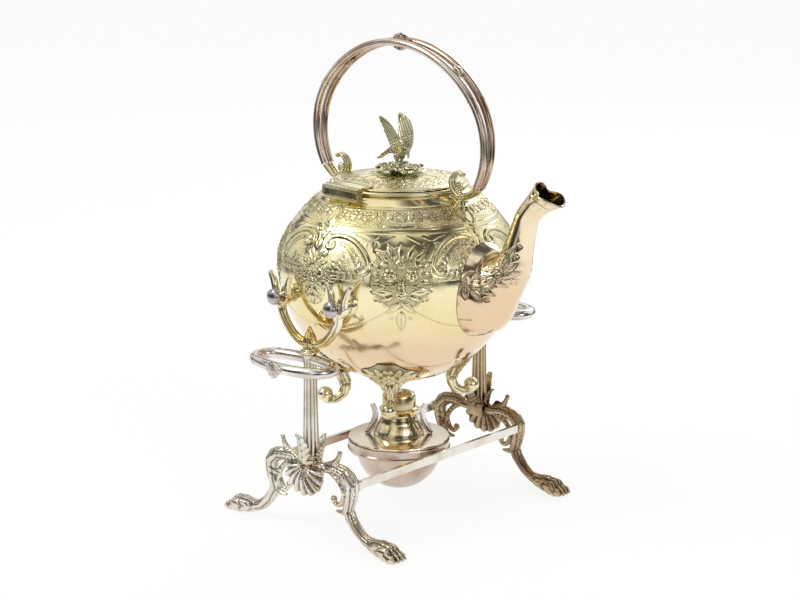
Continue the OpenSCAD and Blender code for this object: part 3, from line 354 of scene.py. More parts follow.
def braid_finish(name):
    """Cotton braid of the wick: pale strands with dark gaps."""
    paint, graph, shader = new_paint(name)
    weave = graph.add("TexVoronoi", {"Vector": graph.object_place(), "Scale": 900})
    ramp = graph.add("ValToRGB", {0: weave.outputs["Distance"]})
    ramp.color_ramp.elements[0].color = (0.80, 0.74, 0.60, 1)
    ramp.color_ramp.elements[1].color = (0.42, 0.36, 0.26, 1)
    bump = graph.add("Bump", {"Distance": 0.0004, "Height": weave.outputs["Distance"]})
    graph.feed(shader, {"Roughness": 0.9, "Base Color": ramp.outputs[0],
                        "Normal": bump.outputs[0]})
    return paint


def finishes():
    paints = {key: plate_finish(name, light, deep, **rest)
              for key, (name, light, deep, rest) in FINISHES.items()}
    paints["wick_braid"] = braid_finish("wick_braid")
    return paints


# ---------------------------------------------------------------- modelling tools
SHARP_EDGE = 38


def cos_sin(degrees):
    return math.cos(math.radians(degrees)), math.sin(math.radians(degrees))


def clear_selection():
    if bpy.context.object and bpy.context.object.mode != "OBJECT":
        bpy.ops.object.mode_set(mode="OBJECT")
    bpy.ops.object.select_all(action="DESELECT")


def take(piece):
    clear_selection()
    piece.select_set(True)
    bpy.context.view_layer.objects.active = piece
    return piece


def apply_modifiers(piece):
    take(piece)
    for modifier in list(piece.modifiers):
        bpy.ops.object.modifier_apply(modifier=modifier.name)


def settle(piece):
    """Puts the piece's place into its mesh."""
    take(piece)
    bpy.ops.object.transform_apply(location=True, rotation=True, scale=True)


def join_to(piece, others):
    take(piece)
    for other in others:
        other.select_set(True)
    bpy.ops.object.join()
    return take(piece)


def dress(piece, body, slot, paint, *nodes):
    """Gives a finished piece its finish, its body and the nodes it stands for; its slot is not
    used.
    """
    piece.data.materials.clear()
    piece.data.materials.append(paint)
    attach(piece, body)
    if nodes:
        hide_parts(*nodes)
    return piece


def turned(name, outline, steps, closed=False, crease=40):
    """Lathe work: a point drawn out along the outline, in mm, and spun about the upright axis."""
    clear_selection()
    first = outline[0]
    bpy.ops.mesh.primitive_plane_add(size=0.001, location=(0, 0, 0))
    piece = bpy.context.object
    piece.name = name
    bpy.ops.object.mode_set(mode="EDIT")
    bpy.ops.mesh.select_all(action="SELECT")
    bpy.ops.mesh.merge(type="CENTER")
    bpy.ops.transform.translate(value=(first[0] * MM, 0, first[1] * MM))
    for a, b in zip(outline, outline[1:]):
        bpy.ops.mesh.extrude_region_move(TRANSFORM_OT_translate={
            "value": ((b[0] - a[0]) * MM, 0, (b[1] - a[1]) * MM)})
    bpy.ops.mesh.select_all(action="SELECT")
    if closed:
        bpy.ops.mesh.remove_doubles(threshold=1e-6)
    bpy.ops.mesh.spin(steps=steps, angle=2 * math.pi, center=(0, 0, 0), axis=(0, 0, 1))
    bpy.ops.mesh.select_all(action="SELECT")
    bpy.ops.mesh.remove_doubles(threshold=2e-6)
    bpy.ops.mesh.normals_make_consistent(inside=False)
    bpy.ops.object.mode_set(mode="OBJECT")
    take(piece)
    bpy.ops.object.shade_smooth_by_angle(angle=math.radians(crease))
    return piece


def lofted(name, rings, ends="fill", crease=40):
    """A ring of points extruded from station to station; its ends are filled or bridged."""
    count = len(rings[0])
    clear_selection()
    bpy.ops.mesh.primitive_circle_add(vertices=count, radius=0.01)
    piece = bpy.context.object
    piece.name = name
    bpy.ops.object.mode_set(mode="EDIT")
    bpy.ops.mesh.select_all(action="SELECT")
    for _ in rings[1:]:
        bpy.ops.mesh.extrude_region_move(TRANSFORM_OT_translate={"value": (0, 0, 0.001)})
    bpy.ops.object.mode_set(mode="OBJECT")
    places = np.array(rings, dtype=np.float32).reshape(-1, 3) * MM
    piece.data.vertices.foreach_set("co", places.ravel())
    piece.data.update()
    bpy.ops.object.mode_set(mode="EDIT")
    bpy.ops.mesh.select_mode(type="EDGE")
    bpy.ops.mesh.select_all(action="DESELECT")
    bpy.ops.mesh.select_non_manifold()
    if ends == "fill":
        bpy.ops.mesh.select_all(action="SELECT")
        bpy.ops.mesh.fill_holes(sides=0)
    else:
        bpy.ops.mesh.bridge_edge_loops()
    bpy.ops.mesh.select_all(action="SELECT")
    bpy.ops.mesh.normals_make_consistent(inside=False)
    bpy.ops.mesh.select_mode(type="VERT")
    bpy.ops.object.mode_set(mode="OBJECT")
    take(piece)
    bpy.ops.object.shade_smooth_by_angle(angle=math.radians(crease))
    return piece


def branch_rings(stations, sides=20, steps=6):
    """Oval rings along a run in a plane: each station is x, z, half width and half depth."""
    run = soften(stations, steps)
    angle = 2 * np.pi * (np.arange(sides) + 0.5) / sides
    rings = []
    for i, here in enumerate(run):
        a, b = run[max(i - 1, 0)], run[min(i + 1, len(run) - 1)]
        lean = math.atan2(b[1] - a[1], b[0] - a[0])
        rings.append(np.stack([here[0] - here[2] * np.cos(angle) * math.sin(lean),
                               here[3] * np.sin(angle),
                               here[1] + here[2] * np.cos(angle) * math.cos(lean)], 1))
    return rings


def bulb(name, middle, reach):
    """A rounded lump of that half length, half width and half height."""
    clear_selection()
    bpy.ops.mesh.primitive_uv_sphere_add(
        segments=28, ring_count=18, radius=1, location=[v * MM for v in middle],
        scale=[v * MM for v in reach])
    piece = bpy.context.object
    piece.name = name
    settle(piece)
    return piece


def placed(piece, turn, move=(0, 0, 0), about="Z"):
    """Turns a piece about an upright or level axis through the origin, then moves it, in mm."""
    piece.matrix_world = (Matrix.Translation([v * MM for v in move])
                          @ Matrix.Rotation(math.radians(turn), 4, about))
    settle(piece)
    return piece


def casting(name, node, grain, smoothing=0, added=()):
    """A casting with the outline of a node and added lumps, remeshed to a grain and smoothed.

    With no grain it is the node's own shape, with its sharp edges kept.
    """
    piece = take(into_scene(name, frame["nodes"][node].data.copy()))
    if added:
        join_to(piece, added)
    piece.data.materials.clear()
    bpy.ops.object.mode_set(mode="EDIT")
    bpy.ops.mesh.select_all(action="SELECT")
    bpy.ops.mesh.remove_doubles(threshold=2e-6)
    bpy.ops.mesh.customdata_custom_splitnormals_clear()
    bpy.ops.object.mode_set(mode="OBJECT")
    if grain:
        remesh = piece.modifiers.new("grain", "REMESH")
        remesh.mode = "VOXEL"
        remesh.voxel_size = grain * MM
        remesh.use_smooth_shade = True
        smooth = piece.modifiers.new("rounding", "SMOOTH")
        smooth.factor = 0.5
        smooth.iterations = smoothing
        apply_modifiers(piece)
        bpy.ops.object.shade_smooth()
    else:
        bpy.ops.object.shade_smooth_by_angle(angle=math.radians(SHARP_EDGE))
    return piece


def points_of(piece):
    co = np.empty(len(piece.data.vertices) * 3, np.float32)
    piece.data.vertices.foreach_get("co", co)
    return co.reshape(-1, 3).astype(float) / MM


def move_points(piece, points):
    piece.data.vertices.foreach_set("co", (points * MM).astype(np.float32).ravel())
    piece.data.update()


def normals_of(piece):
    no = np.empty(len(piece.data.vertices) * 3, np.float32)
    piece.data.vertices.foreach_get("normal", no)
    return no.reshape(-1, 3).astype(float)


def carve(piece, depth, dark=2.0):
    """Moves each point along its normal by depth, in mm, and darkens what is cut in with painted
    shade and tarnish.
    """
    move_points(piece, points_of(piece) + normals_of(piece) * depth[:, None])
    if dark:
        mark(piece, "hollow", -depth * dark)


def mark(piece, name, values):
    layer = piece.data.attributes.new(name, "FLOAT", "POINT")
    layer.data.foreach_set("value", np.clip(values, 0, 1).astype(np.float32))


def ridge(distance, width):
    """A soft round ridge of that half width."""
    return np.exp(-(distance / width) ** 2)


# ---------------------------------------------------------------- chased work
class Surface:
    """Angle about the kettle's axis in degrees, and distance up the wall from its widest line."""

    def __init__(self):
        z = np.linspace(BODY_Z - 95, MOUTH_Z, 3000)
        low = np.clip(1 - ((BODY_Z - z) / BODY_LOW) ** 2, 0, 1) ** 0.5
        high = np.clip(1 - (np.clip(z - BODY_Z, 0, None) / SHOULDER_H) ** SHOULDER_FULL,
                       0, 1) ** (1 / SHOULDER_FULL)
        r = BODY_R * np.where(z < BODY_Z, low, high)
        up = np.concatenate([[0], np.cumsum(np.hypot(np.diff(z), np.diff(r)))])
        self.z, self.r = z, r
        self.up = up - np.interp(BODY_Z, z, up)

    def rise(self, z):
        return np.interp(z, self.z, self.up)

    def height(self, up):
        return np.interp(up, self.up, self.z)

    def radius(self, up):
        return np.interp(up, self.up, self.r)


class Chasing:
    """A relief on a flat pattern, x across and y up in mm: leaves, flowers, bands and curls."""

    def __init__(self, x_of, y):
        self.x_of = x_of
        self.y = y
        self.relief = np.zeros_like(y)
        self.lines = np.zeros_like(y)
        self.cover = np.zeros_like(y)

    def local(self, at, turn=0.0):
        x = self.x_of(at[0])
        y = self.y - at[1]
        c, s = cos_sin(turn)
        return x * c + y * s, y * c - x * s

    def raise_to(self, height, inside):
        self.relief = np.where(inside, np.maximum(self.relief, height), self.relief)
        self.cover = np.maximum(self.cover, inside.astype(float))

    def line(self, strength):
        self.lines = np.maximum(self.lines, strength)

    def leaf(self, at, turn, length, width, height=0.8, veins=True):
        along, across = self.local(at, turn)
        t = np.clip(along / length, 0, 1)
        half = width * np.sin(np.pi * t ** 0.75) ** 0.8 + 1e-3
        inside = (along > 0) & (along < length) & (np.abs(across) < half)
        q = np.clip(np.abs(across) / half, 0, 1)
        body = height * np.sqrt(1 - q ** 2) * (0.5 + 0.5 * np.sin(np.pi * t))
        self.raise_to(body, inside)
        near = (along > -0.6) & (along < length + 0.6)
        edge = ridge(np.abs(across) - half, 0.45) * near
        rib = ridge(across, 0.38) * (along > 0) * (along < length * 0.92)
        self.line(np.maximum(edge * 0.9, rib * 0.8 * inside))
        if veins:
            side = ridge(np.mod(along - np.abs(across) * 0.9, 2.3) - 1.15, 0.34)
            self.line(side * 0.42 * inside * (q > 0.15))

    def flower(self, at, radius, petals, height=1.0, turn=0.0, heart=0.30):
        x, y = self.local(at)
        r = np.hypot(x, y)
        angle = np.arctan2(y, x) + math.radians(turn)
        lobe = np.abs(np.cos(angle * petals / 2))
        reach = radius * (0.78 + 0.22 * lobe ** 0.6)
        inside = r < reach
        q = np.clip(r / reach, 0, 1)
        dish = height * (0.35 + 0.65 * np.sin(np.pi * np.clip(q, 0, 1) ** 1.2) ** 0.8)
        bud = height * 1.15 * np.sqrt(np.clip(1 - (r / (radius * heart)) ** 2, 0, 1))
        self.raise_to(np.maximum(dish * (1 - 0.3 * (1 - lobe) * q), bud), inside)
        self.line(ridge(r - reach, 0.45) * 0.95)
        self.line(ridge(r - radius * heart, 0.38) * 0.8)
        split = (1 - lobe) ** 3 * (q > 0.35) * inside
        self.line(split * 0.9)

    def rose(self, at, radius, height=1.1):
        self.flower(at, radius, 5, height, 18)
        x, y = self.local(at)
        r = np.hypot(x, y)
        twist = np.arctan2(y, x) / (2 * np.pi) + r / (radius * 0.42)
        self.line(ridge(np.mod(twist, 1) - 0.5, 0.16) * (r < radius * 0.66) * 0.75)

    def path_distance(self, path):
        best = np.full_like(self.y, 1e9)
        share = np.zeros_like(self.y)
        count = len(path) - 1
        for i, (a, b) in enumerate(zip(path, path[1:])):
            x = self.x_of(a[0])
            y = self.y - a[1]
            run_x = self.x_of(a[0]) - self.x_of(b[0])
            run_y = b[1] - a[1]
            t = np.clip((x * run_x + y * run_y) / (run_x ** 2 + run_y ** 2 + 1e-9), 0, 1)
            d = np.hypot(x - t * run_x, y - t * run_y)
            nearer = d < best
            best = np.where(nearer, d, best)
            share = np.where(nearer, (i + t) / count, share)
        return best, share

    def band(self, path, width, height=0.8, taper=0.5):
        """A rounded strap with a cut line along each edge."""
        path = soften(path, 3)
        d, share = self.path_distance(path)
        half = width * (1 - taper * np.abs(2 * share - 1) ** 3)
        inside = d < half
        self.raise_to(height * np.sqrt(np.clip(1 - (d / half) ** 2, 0, 1)) + 0.15, inside)
        self.line(ridge(d - half, 0.42))
        self.line(ridge(d - half * 0.25, 0.3) * 0.25 * inside)

    def cut(self, path, width=0.4, strength=0.8):
        d, _ = self.path_distance(soften(path, 3))
        self.line(ridge(d, width) * strength)

    def curl(self, at, radius, turns, start, way=1, strength=0.8):
        x, y = self.local(at)
        r = np.hypot(x, y)
        angle = np.mod(way * (np.arctan2(y, x) - math.radians(start)) / (2 * np.pi), 1)
        best = np.full_like(r, 9.0)
        for k in range(int(turns) + 1):
            t = (angle + k) / turns
            reach = np.where(t <= 1, radius * (1 - t) + 0.2, 99)
            best = np.minimum(best, np.abs(r - reach))
        self.line(ridge(best, 0.42) * strength)


def soften(path, steps):
    """Smooth run of points through a list of points."""
    p = [np.array(q, float) for q in path]
    out = []
    for i in range(len(p) - 1):
        a, b, c, d = p[max(i - 1, 0)], p[i], p[i + 1], p[min(i + 2, len(p) - 1)]
        for k in range(steps):
            t = k / steps
            out.append(0.5 * (2 * b + (c - a) * t + (2 * a - 5 * b + 4 * c - d) * t ** 2
                              + (3 * b - a - 3 * c + d) * t ** 3))
    return out + [p[-1]]


# The body's pattern: where a bouquet is, how fine the mesh is, and where the plain part begins
BOUQUET_ANGLE = -46.5
BODY_SIDES = 760
CHASED_STEP = 0.82
PLAIN_BELOW = -45


def chase_body(points):
    """Relief, painted shade and tarnish for its lines and matted ground, and punched ground of the
    kettle's body at each point.
    """
    wall = Surface()
    angle = np.degrees(np.arctan2(points[:, 1], points[:, 0]))
    up = wall.rise(points[:, 2])
    folded = np.abs(np.mod(angle - BOUQUET_ANGLE + 45, 90) - 45)
    scale = wall.radius(up) * math.pi / 180
    work = Chasing(lambda a: (folded - a) * scale, up)
    # Large scroll beside each bouquet
    scroll = [(36.2, 29.8), (35.0, 27.2), (36.6, 24.6), (38.8, 25.2), (40.3, 28.6),
              (38.9, 32.8), (35.5, 35.0), (31, 35.2), (26, 33.2), (21.3, 28.8),
              (17.2, 21.5), (15.3, 14.5), (16.2, 9.4), (18.6, 7.8), (20.5, 10),
              (19.6, 13), (17.9, 12.4)]
    for k in range(8):
        a, s = 32.5 - 1.9 * k, 30.4 - 0.28 * k * k
        work.leaf((a, s), -122 + 11 * k - 30, 9.5 - 0.4 * abs(k - 3), 1.7, 0.55, False)
    for k in range(6):
        work.leaf((21 + 2.6 * k, 9.5 - 0.5 * k), -68 + 13 * k, 6.5, 1.5, 0.5, False)
    work.band(scroll, 1.95, 0.95, 0.45)
    # Second, smaller scroll that runs from the large one to the middle of the quarter
    work.band([(38.5, 20.5), (41.5, 17.5), (43.6, 12.8), (42.6, 8.6), (40.4, 8.2)],
              1.1, 0.6, 0.5)
    # Bouquet
    for at, turn, length, width in (
            ((0, 19), 90, 13, 2.5), ((3.2, 18.5), 66, 13.5, 2.4), ((6.2, 17), 44, 12.5, 2.4),
            ((9.2, 13), 26, 9.5, 2.2), ((9.4, 8.2), 2, 7.5, 2.1), ((8.6, 3.2), -14, 8.5, 2.4),
            ((4.2, -5.6), 4, 15.5, 3.5), ((3.6, -8.2), -22, 11, 2.3)):
        work.leaf(at, turn, length, width, 0.85)
    work.rose((4.9, 7.6), 5.3, 1.25)
    work.flower((0, 16), 4.2, 6, 1.1)
    work.flower((7.9, 15.2), 3.1, 5, 0.9)
    work.flower((0, -1.2), 3.0, 5, 0.8)
    work.flower((0, -7), 4.6, 7, 1.15, 90)
    work.band([(13.6, 6.6), (11, 2.2), (7.4, -0.6), (4.4, -1.6)], 0.9, 0.6, 0.6)
    # Pendant leaves under the bouquet
    work.leaf((0.6, -13), -44, 13.5, 3.0, 0.75)
    work.leaf((0, -20.5), -90, 16.5, 3.5, 0.8)
    work.curl((7.4, -14.2), 2.4, 1.5, 200)
    work.curl((4.3, -27), 1.7, 1.2, 150, -1)
    work.curl((11.6, -10.2), 1.8, 1.3, 200)
    # Sprays on the line between two bouquets
    work.flower((40, 4.6), 3.6, 6, 0.8)
    work.flower((45, -2.5), 3.4, 5, 0.8)
    work.flower((45, 12.5), 3.2, 6, 0.8)
    for at, turn, length, width in (
            ((41.5, 0.5), -130, 7.5, 1.8), ((38, -1), -100, 7, 1.7), ((36.8, 7), 190, 7, 1.7),
            ((36.4, 3.4), 215, 7.5, 1.7), ((43.8, -6.5), -112, 9, 1.9),
            ((45, -12), -90, 9, 2.0), ((43.6, 17), 118, 7.5, 1.7), ((45, 24), 90, 8, 1.8),
            ((40.6, 11), 160, 6, 1.5), ((33.5, 14), 240, 7, 1.6), ((30, 16), 250, 7, 1.5)):
        work.leaf(at, turn, length, width, 0.6)
    work.curl((34.2, -2.5), 2.3, 1.5, 20, -1)
    work.curl((40.5, -14), 2.2, 1.4, 60)
    work.curl((29.5, 1.5), 2.0, 1.4, 20, -1)
    # Oval shields over the spout, the hinge and the hanging pins
    x, y = work.local((45, 51.5))
    oval = np.hypot(x / 4.3, y / 7.6)
    work.raise_to(0.35 + 0.35 * np.sqrt(np.clip(1 - oval ** 2, 0, 1)), oval < 1)
    work.line(ridge((oval - 1) * 5.0, 0.45))
    rim = np.hypot(x / 6.6, y / 10.2)
    work.raise_to(0.75 * ridge((rim - 0.86) * 7, 1.0), (rim < 1.0) & (oval >= 1))
    work.line(ridge((rim - 1) * 7.5, 0.45))
    clear_oval = rim > 1.02
    work.curl((40.6, 38.8), 3.0, 1.6, 70, -1, 0.9)
    work.curl((41.6, 60.4), 2.0, 1.3, -60, 1, 0.8)
    work.leaf((45, 40), -90, 9, 2.6, 0.7)
    # Lined band under the shields
    for s in (40.4, 42.2, 44.6):
        work.line(ridge(up - s, 0.36) * clear_oval * (folded < 39.4) * 0.85)
    work.raise_to(0.30 * ridge(up - 43.4, 1.1), (np.abs(up - 43.4) < 1.2) & (folded < 39))
    work.band([(0, 46.9), (5, 46.6), (9.5, 46.3)], 1.5, 0.6, 0.4)
    work.curl((11.4, 46.4), 2.3, 1.5, 150, -1, 0.9)
    # Sprigs round the neck
    for k, a in enumerate((6.5, 16.5, 26, 35)):
        work.flower((a, 54.5 + (k % 2) * 1.2), 2.8, 5, 0.6, 20 * k)
        for turn in (35, 150, 205, -25):
            reach = 3.0
            c, s = cos_sin(turn)
            work.leaf((a + reach * c / 1.15, 54.5 + reach * s), turn, 6.0, 1.4, 0.45, False)
    for s in (61.6, 63.4):
        work.line(ridge(up - s, 0.36) * 0.8)
    # Loose tendrils in the plain ground above the scrolls
    work.cut([(12, 37), (16, 34), (20, 36.5), (24, 38)], 0.4, 0.6)
    work.cut([(3.5, 37.5), (8, 33.5), (12.5, 29), (13, 25)], 0.4, 0.6)
    work.curl((12.6, 31), 2.4, 1.5, 180, 1, 0.7)
    near_neck = (up > 45.4) & (up < 61) & clear_oval
    spray = np.hypot((folded - 45) * scale / 15, (up + 1) / 20) < 1
    cushion = np.hypot(folded * scale / 23, (up - 5) / 24) < 1
    ground = (near_neck | cushion | spray) & (work.cover < 0.5)
    inside_scroll = (folded > 17) & (folded < 37) & (up > 2) & (up < 32) & (work.cover < 0.5)
    matting = ground * 1.0 + inside_scroll * 0.5
    relief = work.relief - 0.55 * work.lines - 0.15 * ground
    outer = np.hypot(points[:, 0], points[:, 1]) > wall.radius(up) - 0.7
    keep = outer * (up > -42) * (points[:, 2] < MOUTH_Z - 3.2)
    shade = 0.62 * work.lines + 0.34 * cushion * (work.cover < 0.5) + 0.16 * near_neck * ground
    return relief * keep, shade * keep, matting * keep


def body_outline(inset, up_from, up_to, spacing):
    """Points on the wall's outline between two distances up it."""
    wall = Surface()
    count = max(2, int(abs(up_to - up_from) / spacing))
    ups = np.linspace(up_from, up_to, count + 1)
    out = []
    for up in ups:
        z, r = float(wall.height(up)), float(wall.radius(up))
        slope = float(wall.height(up + 0.5) - wall.height(up - 0.5))
        lean = float(wall.radius(up + 0.5) - wall.radius(up - 0.5))
        size = math.hypot(slope, lean) or 1
        out.append((max(0.0, r - inset * slope / size), z + inset * lean / size))
    return out


def make_body(paints):
    wall = Surface()
    top = float(wall.rise(MOUTH_Z - 3.4))
    outline = (body_outline(0, 0, top, CHASED_STEP) + [(NECK_R, MOUTH_Z - 0.5),
               (NECK_R - 0.5, MOUTH_Z), (MOUTH_R + 0.4, MOUTH_Z), (MOUTH_R, MOUTH_Z - 0.5)]
               + body_outline(WALL, top, 0, 7) + [(BODY_R, BODY_Z)])
    shoulder = turned("shoulder_chased", outline, BODY_SIDES, closed=True)
    bottom = float(wall.rise(BODY_Z - 94))
    outline = ([(0, BODY_Z - BODY_LOW), (14, BODY_Z - BODY_LOW * 0.989)]
               + body_outline(0, bottom, PLAIN_BELOW, 4)[1:]
               + body_outline(0, PLAIN_BELOW, 0, CHASED_STEP)[1:]
               + body_outline(WALL, 0, bottom, 8) + [(0, BODY_Z - BODY_LOW + WALL)])
    bowl = turned("bowl_chased", outline, BODY_SIDES)
    for piece, node in ((shoulder, "kettle_shoulder"), (bowl, "kettle_bowl")):
        relief, shade, matting = chase_body(points_of(piece))
        carve(piece, relief, None)
        mark(piece, "hollow", shade)
        mark(piece, "matting", matting)
        dress(piece, "kettle", "kettle_plate", paints["kettle_plate"], node)


# ---------------------------------------------------------------- kettle's fittings
# The spout's oval seam on the body, then x, z, half height, half width and lean of each station
SEAM_Z = 191.5
SEAM_H = 37.0
SEAM_W = 33
SPOUT_STATIONS = [(99.3, 192.5, 30.5, 28, 95), (105.3, 200, 21.5, 20.5, 116),
                  (116, 214.5, 14.6, 14.6, 149), (120.5, 227, 11.8, 11.8, 162),
                  (124.7, 241.5, 10, 10, 163), (129.5, 254, 9.4, 9.4, 155),
                  (138.7, 264.3, 10.2, 9.8, 144), (148.9, 272.5, 12.9, 11.8, 153)]
SPOUT_WALL = 1.1
# Out of the mouth, and square to that towards its back
MOUTH_OUT = np.array([0.454, 0, 0.891])
MOUTH_BACK = np.array([-0.891, 0, 0.454])


def spout_walls(inset, sides=236, steps=24):
    """Rings of the spout from its seam on the body to its mouth, a wall's thickness in."""
    wall = Surface()
    around = 2 * np.pi * (np.arange(sides) + 0.5) / sides
    y, z = (SEAM_W - inset) * np.sin(around), SEAM_Z + (SEAM_H - inset) * np.cos(around)
    r = np.interp(z, wall.z, wall.r)
    rings = [np.stack([np.sqrt(r ** 2 - y ** 2) + 0.2, y, z], 1)]
    for x, z, high, wide, lean in SPOUT_STATIONS:
        lean = math.radians(lean - 90)
        rings.append(np.stack([x - (high - inset) * np.cos(around) * math.sin(lean),
                               (wide - inset) * np.sin(around),
                               z + (high - inset) * np.cos(around) * math.cos(lean)], 1))
    return soften(rings, steps), np.cos(around)


def pinch_mouth(rings, back):
    """Draws the mouth in behind its middle, lifts its back point and brings its lip forward."""
    out = []
    for i, ring in enumerate(rings):
        t = np.clip((i / (len(rings) - 1) - 0.87) / 0.13, 0, 1)
        near = t * t * (3 - 2 * t)
        ring = ring.copy()
        waist = 0.40 * np.exp(-((back - 0.50) / 0.26) ** 2)
        point = 0.30 * np.clip(-back - 0.2, 0, 1) ** 1.5
        ring[:, 1] *= 1 - near * (waist + point)
        lift = (2.9 * np.clip(back - 0.72, 0, 1) / 0.28 - 1.5 * np.exp(-((back - 0.35) / 0.4) ** 2)
                - 0.9 * np.clip(-back - 0.5, 0, 1) / 0.5)
        ring += near * lift[:, None] * MOUTH_OUT
        ring -= near * (1.2 * np.clip(-back - 0.4, 0, 1) / 0.6)[:, None] * MOUTH_BACK
        out.append(ring)
    return out


def make_spout(paint):
    outer, back = spout_walls(0)
    inner, _ = spout_walls(SPOUT_WALL, steps=4)
    outer, inner = pinch_mouth(outer, back), pinch_mouth(inner, back)
    middle = (outer[-1] + inner[-1]) / 2
    spread = outer[-1] - inner[-1]
    lip = [outer[-1] + 0.55 * spread + 0.3 * MOUTH_OUT,
           middle + 0.95 * spread + 0.8 * MOUTH_OUT, middle + 0.4 * spread + 1.2 * MOUTH_OUT,
           inner[-1] + 0.05 * spread + 0.9 * MOUTH_OUT, inner[-1]]
    rings = outer + lip + inner[:-1][::-1]
    piece = lofted("spout_drawn", rings, "bridge", 50)
    p = points_of(piece)
    sides = len(outer[0])
    outside = np.arange(len(p)) < sides * len(outer)
    station = np.arange(len(p)) // sides
    work = Chasing(lambda a: p[:, 0] - a, p[:, 2])
    # Leafy scrolls on both flanks
    work.band([(112.5, 206.5), (108, 200.5), (100, 198.8), (93.5, 201.5), (91.5, 206.5),
               (94.5, 210.5), (98.5, 209.5), (99, 206.5)], 1.35, 0.5, 0.5)
    work.band([(108, 211), (112, 214.6), (117, 213), (117.6, 208.6), (114.3, 207)], 1.0, 0.4, 0.5)
    for at, turn, length, width in (
            ((118, 209), 20, 12.5, 2.6), ((118, 211), 45, 13, 2.6), ((119, 207), -16, 11.5, 2.4),
            ((117, 214), 66, 12, 2.3), ((120, 223), 58, 10.5, 2.1), ((119.5, 222), 96, 8, 1.8),
            ((115, 213), 100, 9, 1.9), ((112, 205), -24, 10, 2.1), ((103, 199), -28, 11, 2.2),
            ((98, 199), -50, 9.5, 2.0), ((94, 201), -84, 10, 2.1), ((91, 204), -120, 9.5, 2.0),
            ((104.5, 203.5), 34, 8.5, 1.8), ((97.5, 204.5), 20, 8, 1.7), ((101, 211), 26, 8, 1.6)):
        work.leaf(at, turn, length, width, 0.42)
    work.flower((115.5, 209.5), 2.4, 5, 0.5)
    work.flower((93, 204), 2.2, 5, 0.45)
    for at, radius, start, way in (((88.5, 187.2), 2.7, 60, 1), ((127, 225), 2.3, 250, -1),
                                   ((113.6, 218), 2.1, 40, 1), ((107.5, 190.5), 2.0, 180, -1),
                                   ((128.6, 233), 1.8, 250, 1)):
        work.curl(at, radius, 1.5, start, way, 0.85)
    flank = np.clip((np.abs(normals_of(piece)[:, 1]) - 0.30) / 0.2, 0, 1) * outside
    seam = outside * np.clip(1 - station / 2.5, 0, 1)
    carve(piece, (0.8 * work.relief - 0.4 * work.lines) * flank, None)
    # Painted shade and tarnish in the chased lines and round the seam at the spout's root
    mark(piece, "hollow", 0.85 * work.lines * flank + 0.8 * seam)
    mark(piece, "matting", np.zeros(len(p)))
    dress(piece, "kettle", "kettle_plate", paint, "spout")


# The lid's edge, underside, plate and dome
LID_R = 51.5
LID_LOW = MOUTH_Z + 0.3
LID_T = 1.3
LID_RISE = 5.5


def lid_height(r):
    return LID_LOW + LID_T + LID_RISE * (1 - (r / LID_R) ** 2)


def make_lid(paint):
    """Domed lid with a rolled edge and engraved sprays between two lined rims."""
    flange = MOUTH_R - 0.7
    top = [(r, lid_height(r)) for r in np.linspace(1.7, LID_R - 0.7, 92)]
    under = [(r, lid_height(r) - LID_T) for r in np.linspace(flange - 1.1, 1.7, 14)]
    outline = (top + [(LID_R, LID_LOW + 0.95), (LID_R + 0.1, LID_LOW + 0.6),
                      (LID_R, LID_LOW + 0.2), (LID_R - 0.5, LID_LOW),
                      (flange, LID_LOW), (flange, MOUTH_Z - 5.8),
                      (flange - 0.3, MOUTH_Z - 6), (flange - 0.9, MOUTH_Z - 6),
                      (flange - 1.1, MOUTH_Z - 5.8)] + under + [top[0]])
    lid = turned("lid_chased", outline, 480, closed=True)
    p = points_of(lid)
    r = np.hypot(p[:, 0], p[:, 1])
    angle = np.degrees(np.arctan2(p[:, 1], p[:, 0]))
    folded = np.abs(np.mod(angle + 22.5, 45) - 22.5)
    scale = r * math.pi / 180
    work = Chasing(lambda a: (folded - a) * scale, r)
    work.flower((0, 37), 3.3, 6, 0.35)
    for at, turn, length, width in (
            ((0, 40.4), 90, 5.2, 1.6), ((3.6, 39.4), 42, 6.4, 1.5), ((3.8, 35), -28, 7, 1.6),
            ((0, 33.5), -90, 6.5, 1.6), ((16, 41), 150, 6, 1.4), ((16.5, 38), 200, 6, 1.4),
            ((22.5, 33), -90, 6.5, 1.7), ((22.5, 43), 90, 4.6, 1.4)):
        work.leaf(at, turn, length, width, 0.22, False)
    work.flower((22.5, 38.5), 2.6, 5, 0.3)
    work.curl((11.5, 42.2), 2.2, 1.5, 30, 1, 0.9)
    work.curl((13.5, 33.4), 2.2, 1.5, 200, -1, 0.9)
    work.cut([(4, 42.6), (9, 45), (15, 45.4), (22, 46.2)], 0.35, 0.7)
    # Ring of leaves under the rock
    work.leaf((0, 13), 90, 11.5, 2.6, 0.35)
    work.leaf((11.25, 13), 90, 8.5, 2.0, 0.3)
    work.leaf((22.5, 13), 90, 11.5, 2.6, 0.35)
    for at in (48.4, 49.5):
        work.line(ridge(r - at, 0.28) * 0.8)
    crown = (p[:, 2] > lid_height(r) - 0.4) & (r > 2.2) & (r < LID_R - 0.8)
    carve(lid, (work.relief - 0.3 * work.lines) * crown, None)
    # Painted shade and tarnish in the engraved lines
    mark(lid, "hollow", 0.62 * work.lines * crown)
    mark(lid, "matting", 0.10 * crown * (work.cover < 0.5))
    dress(lid, "lid_group", "kettle_plate", paint, "lid")


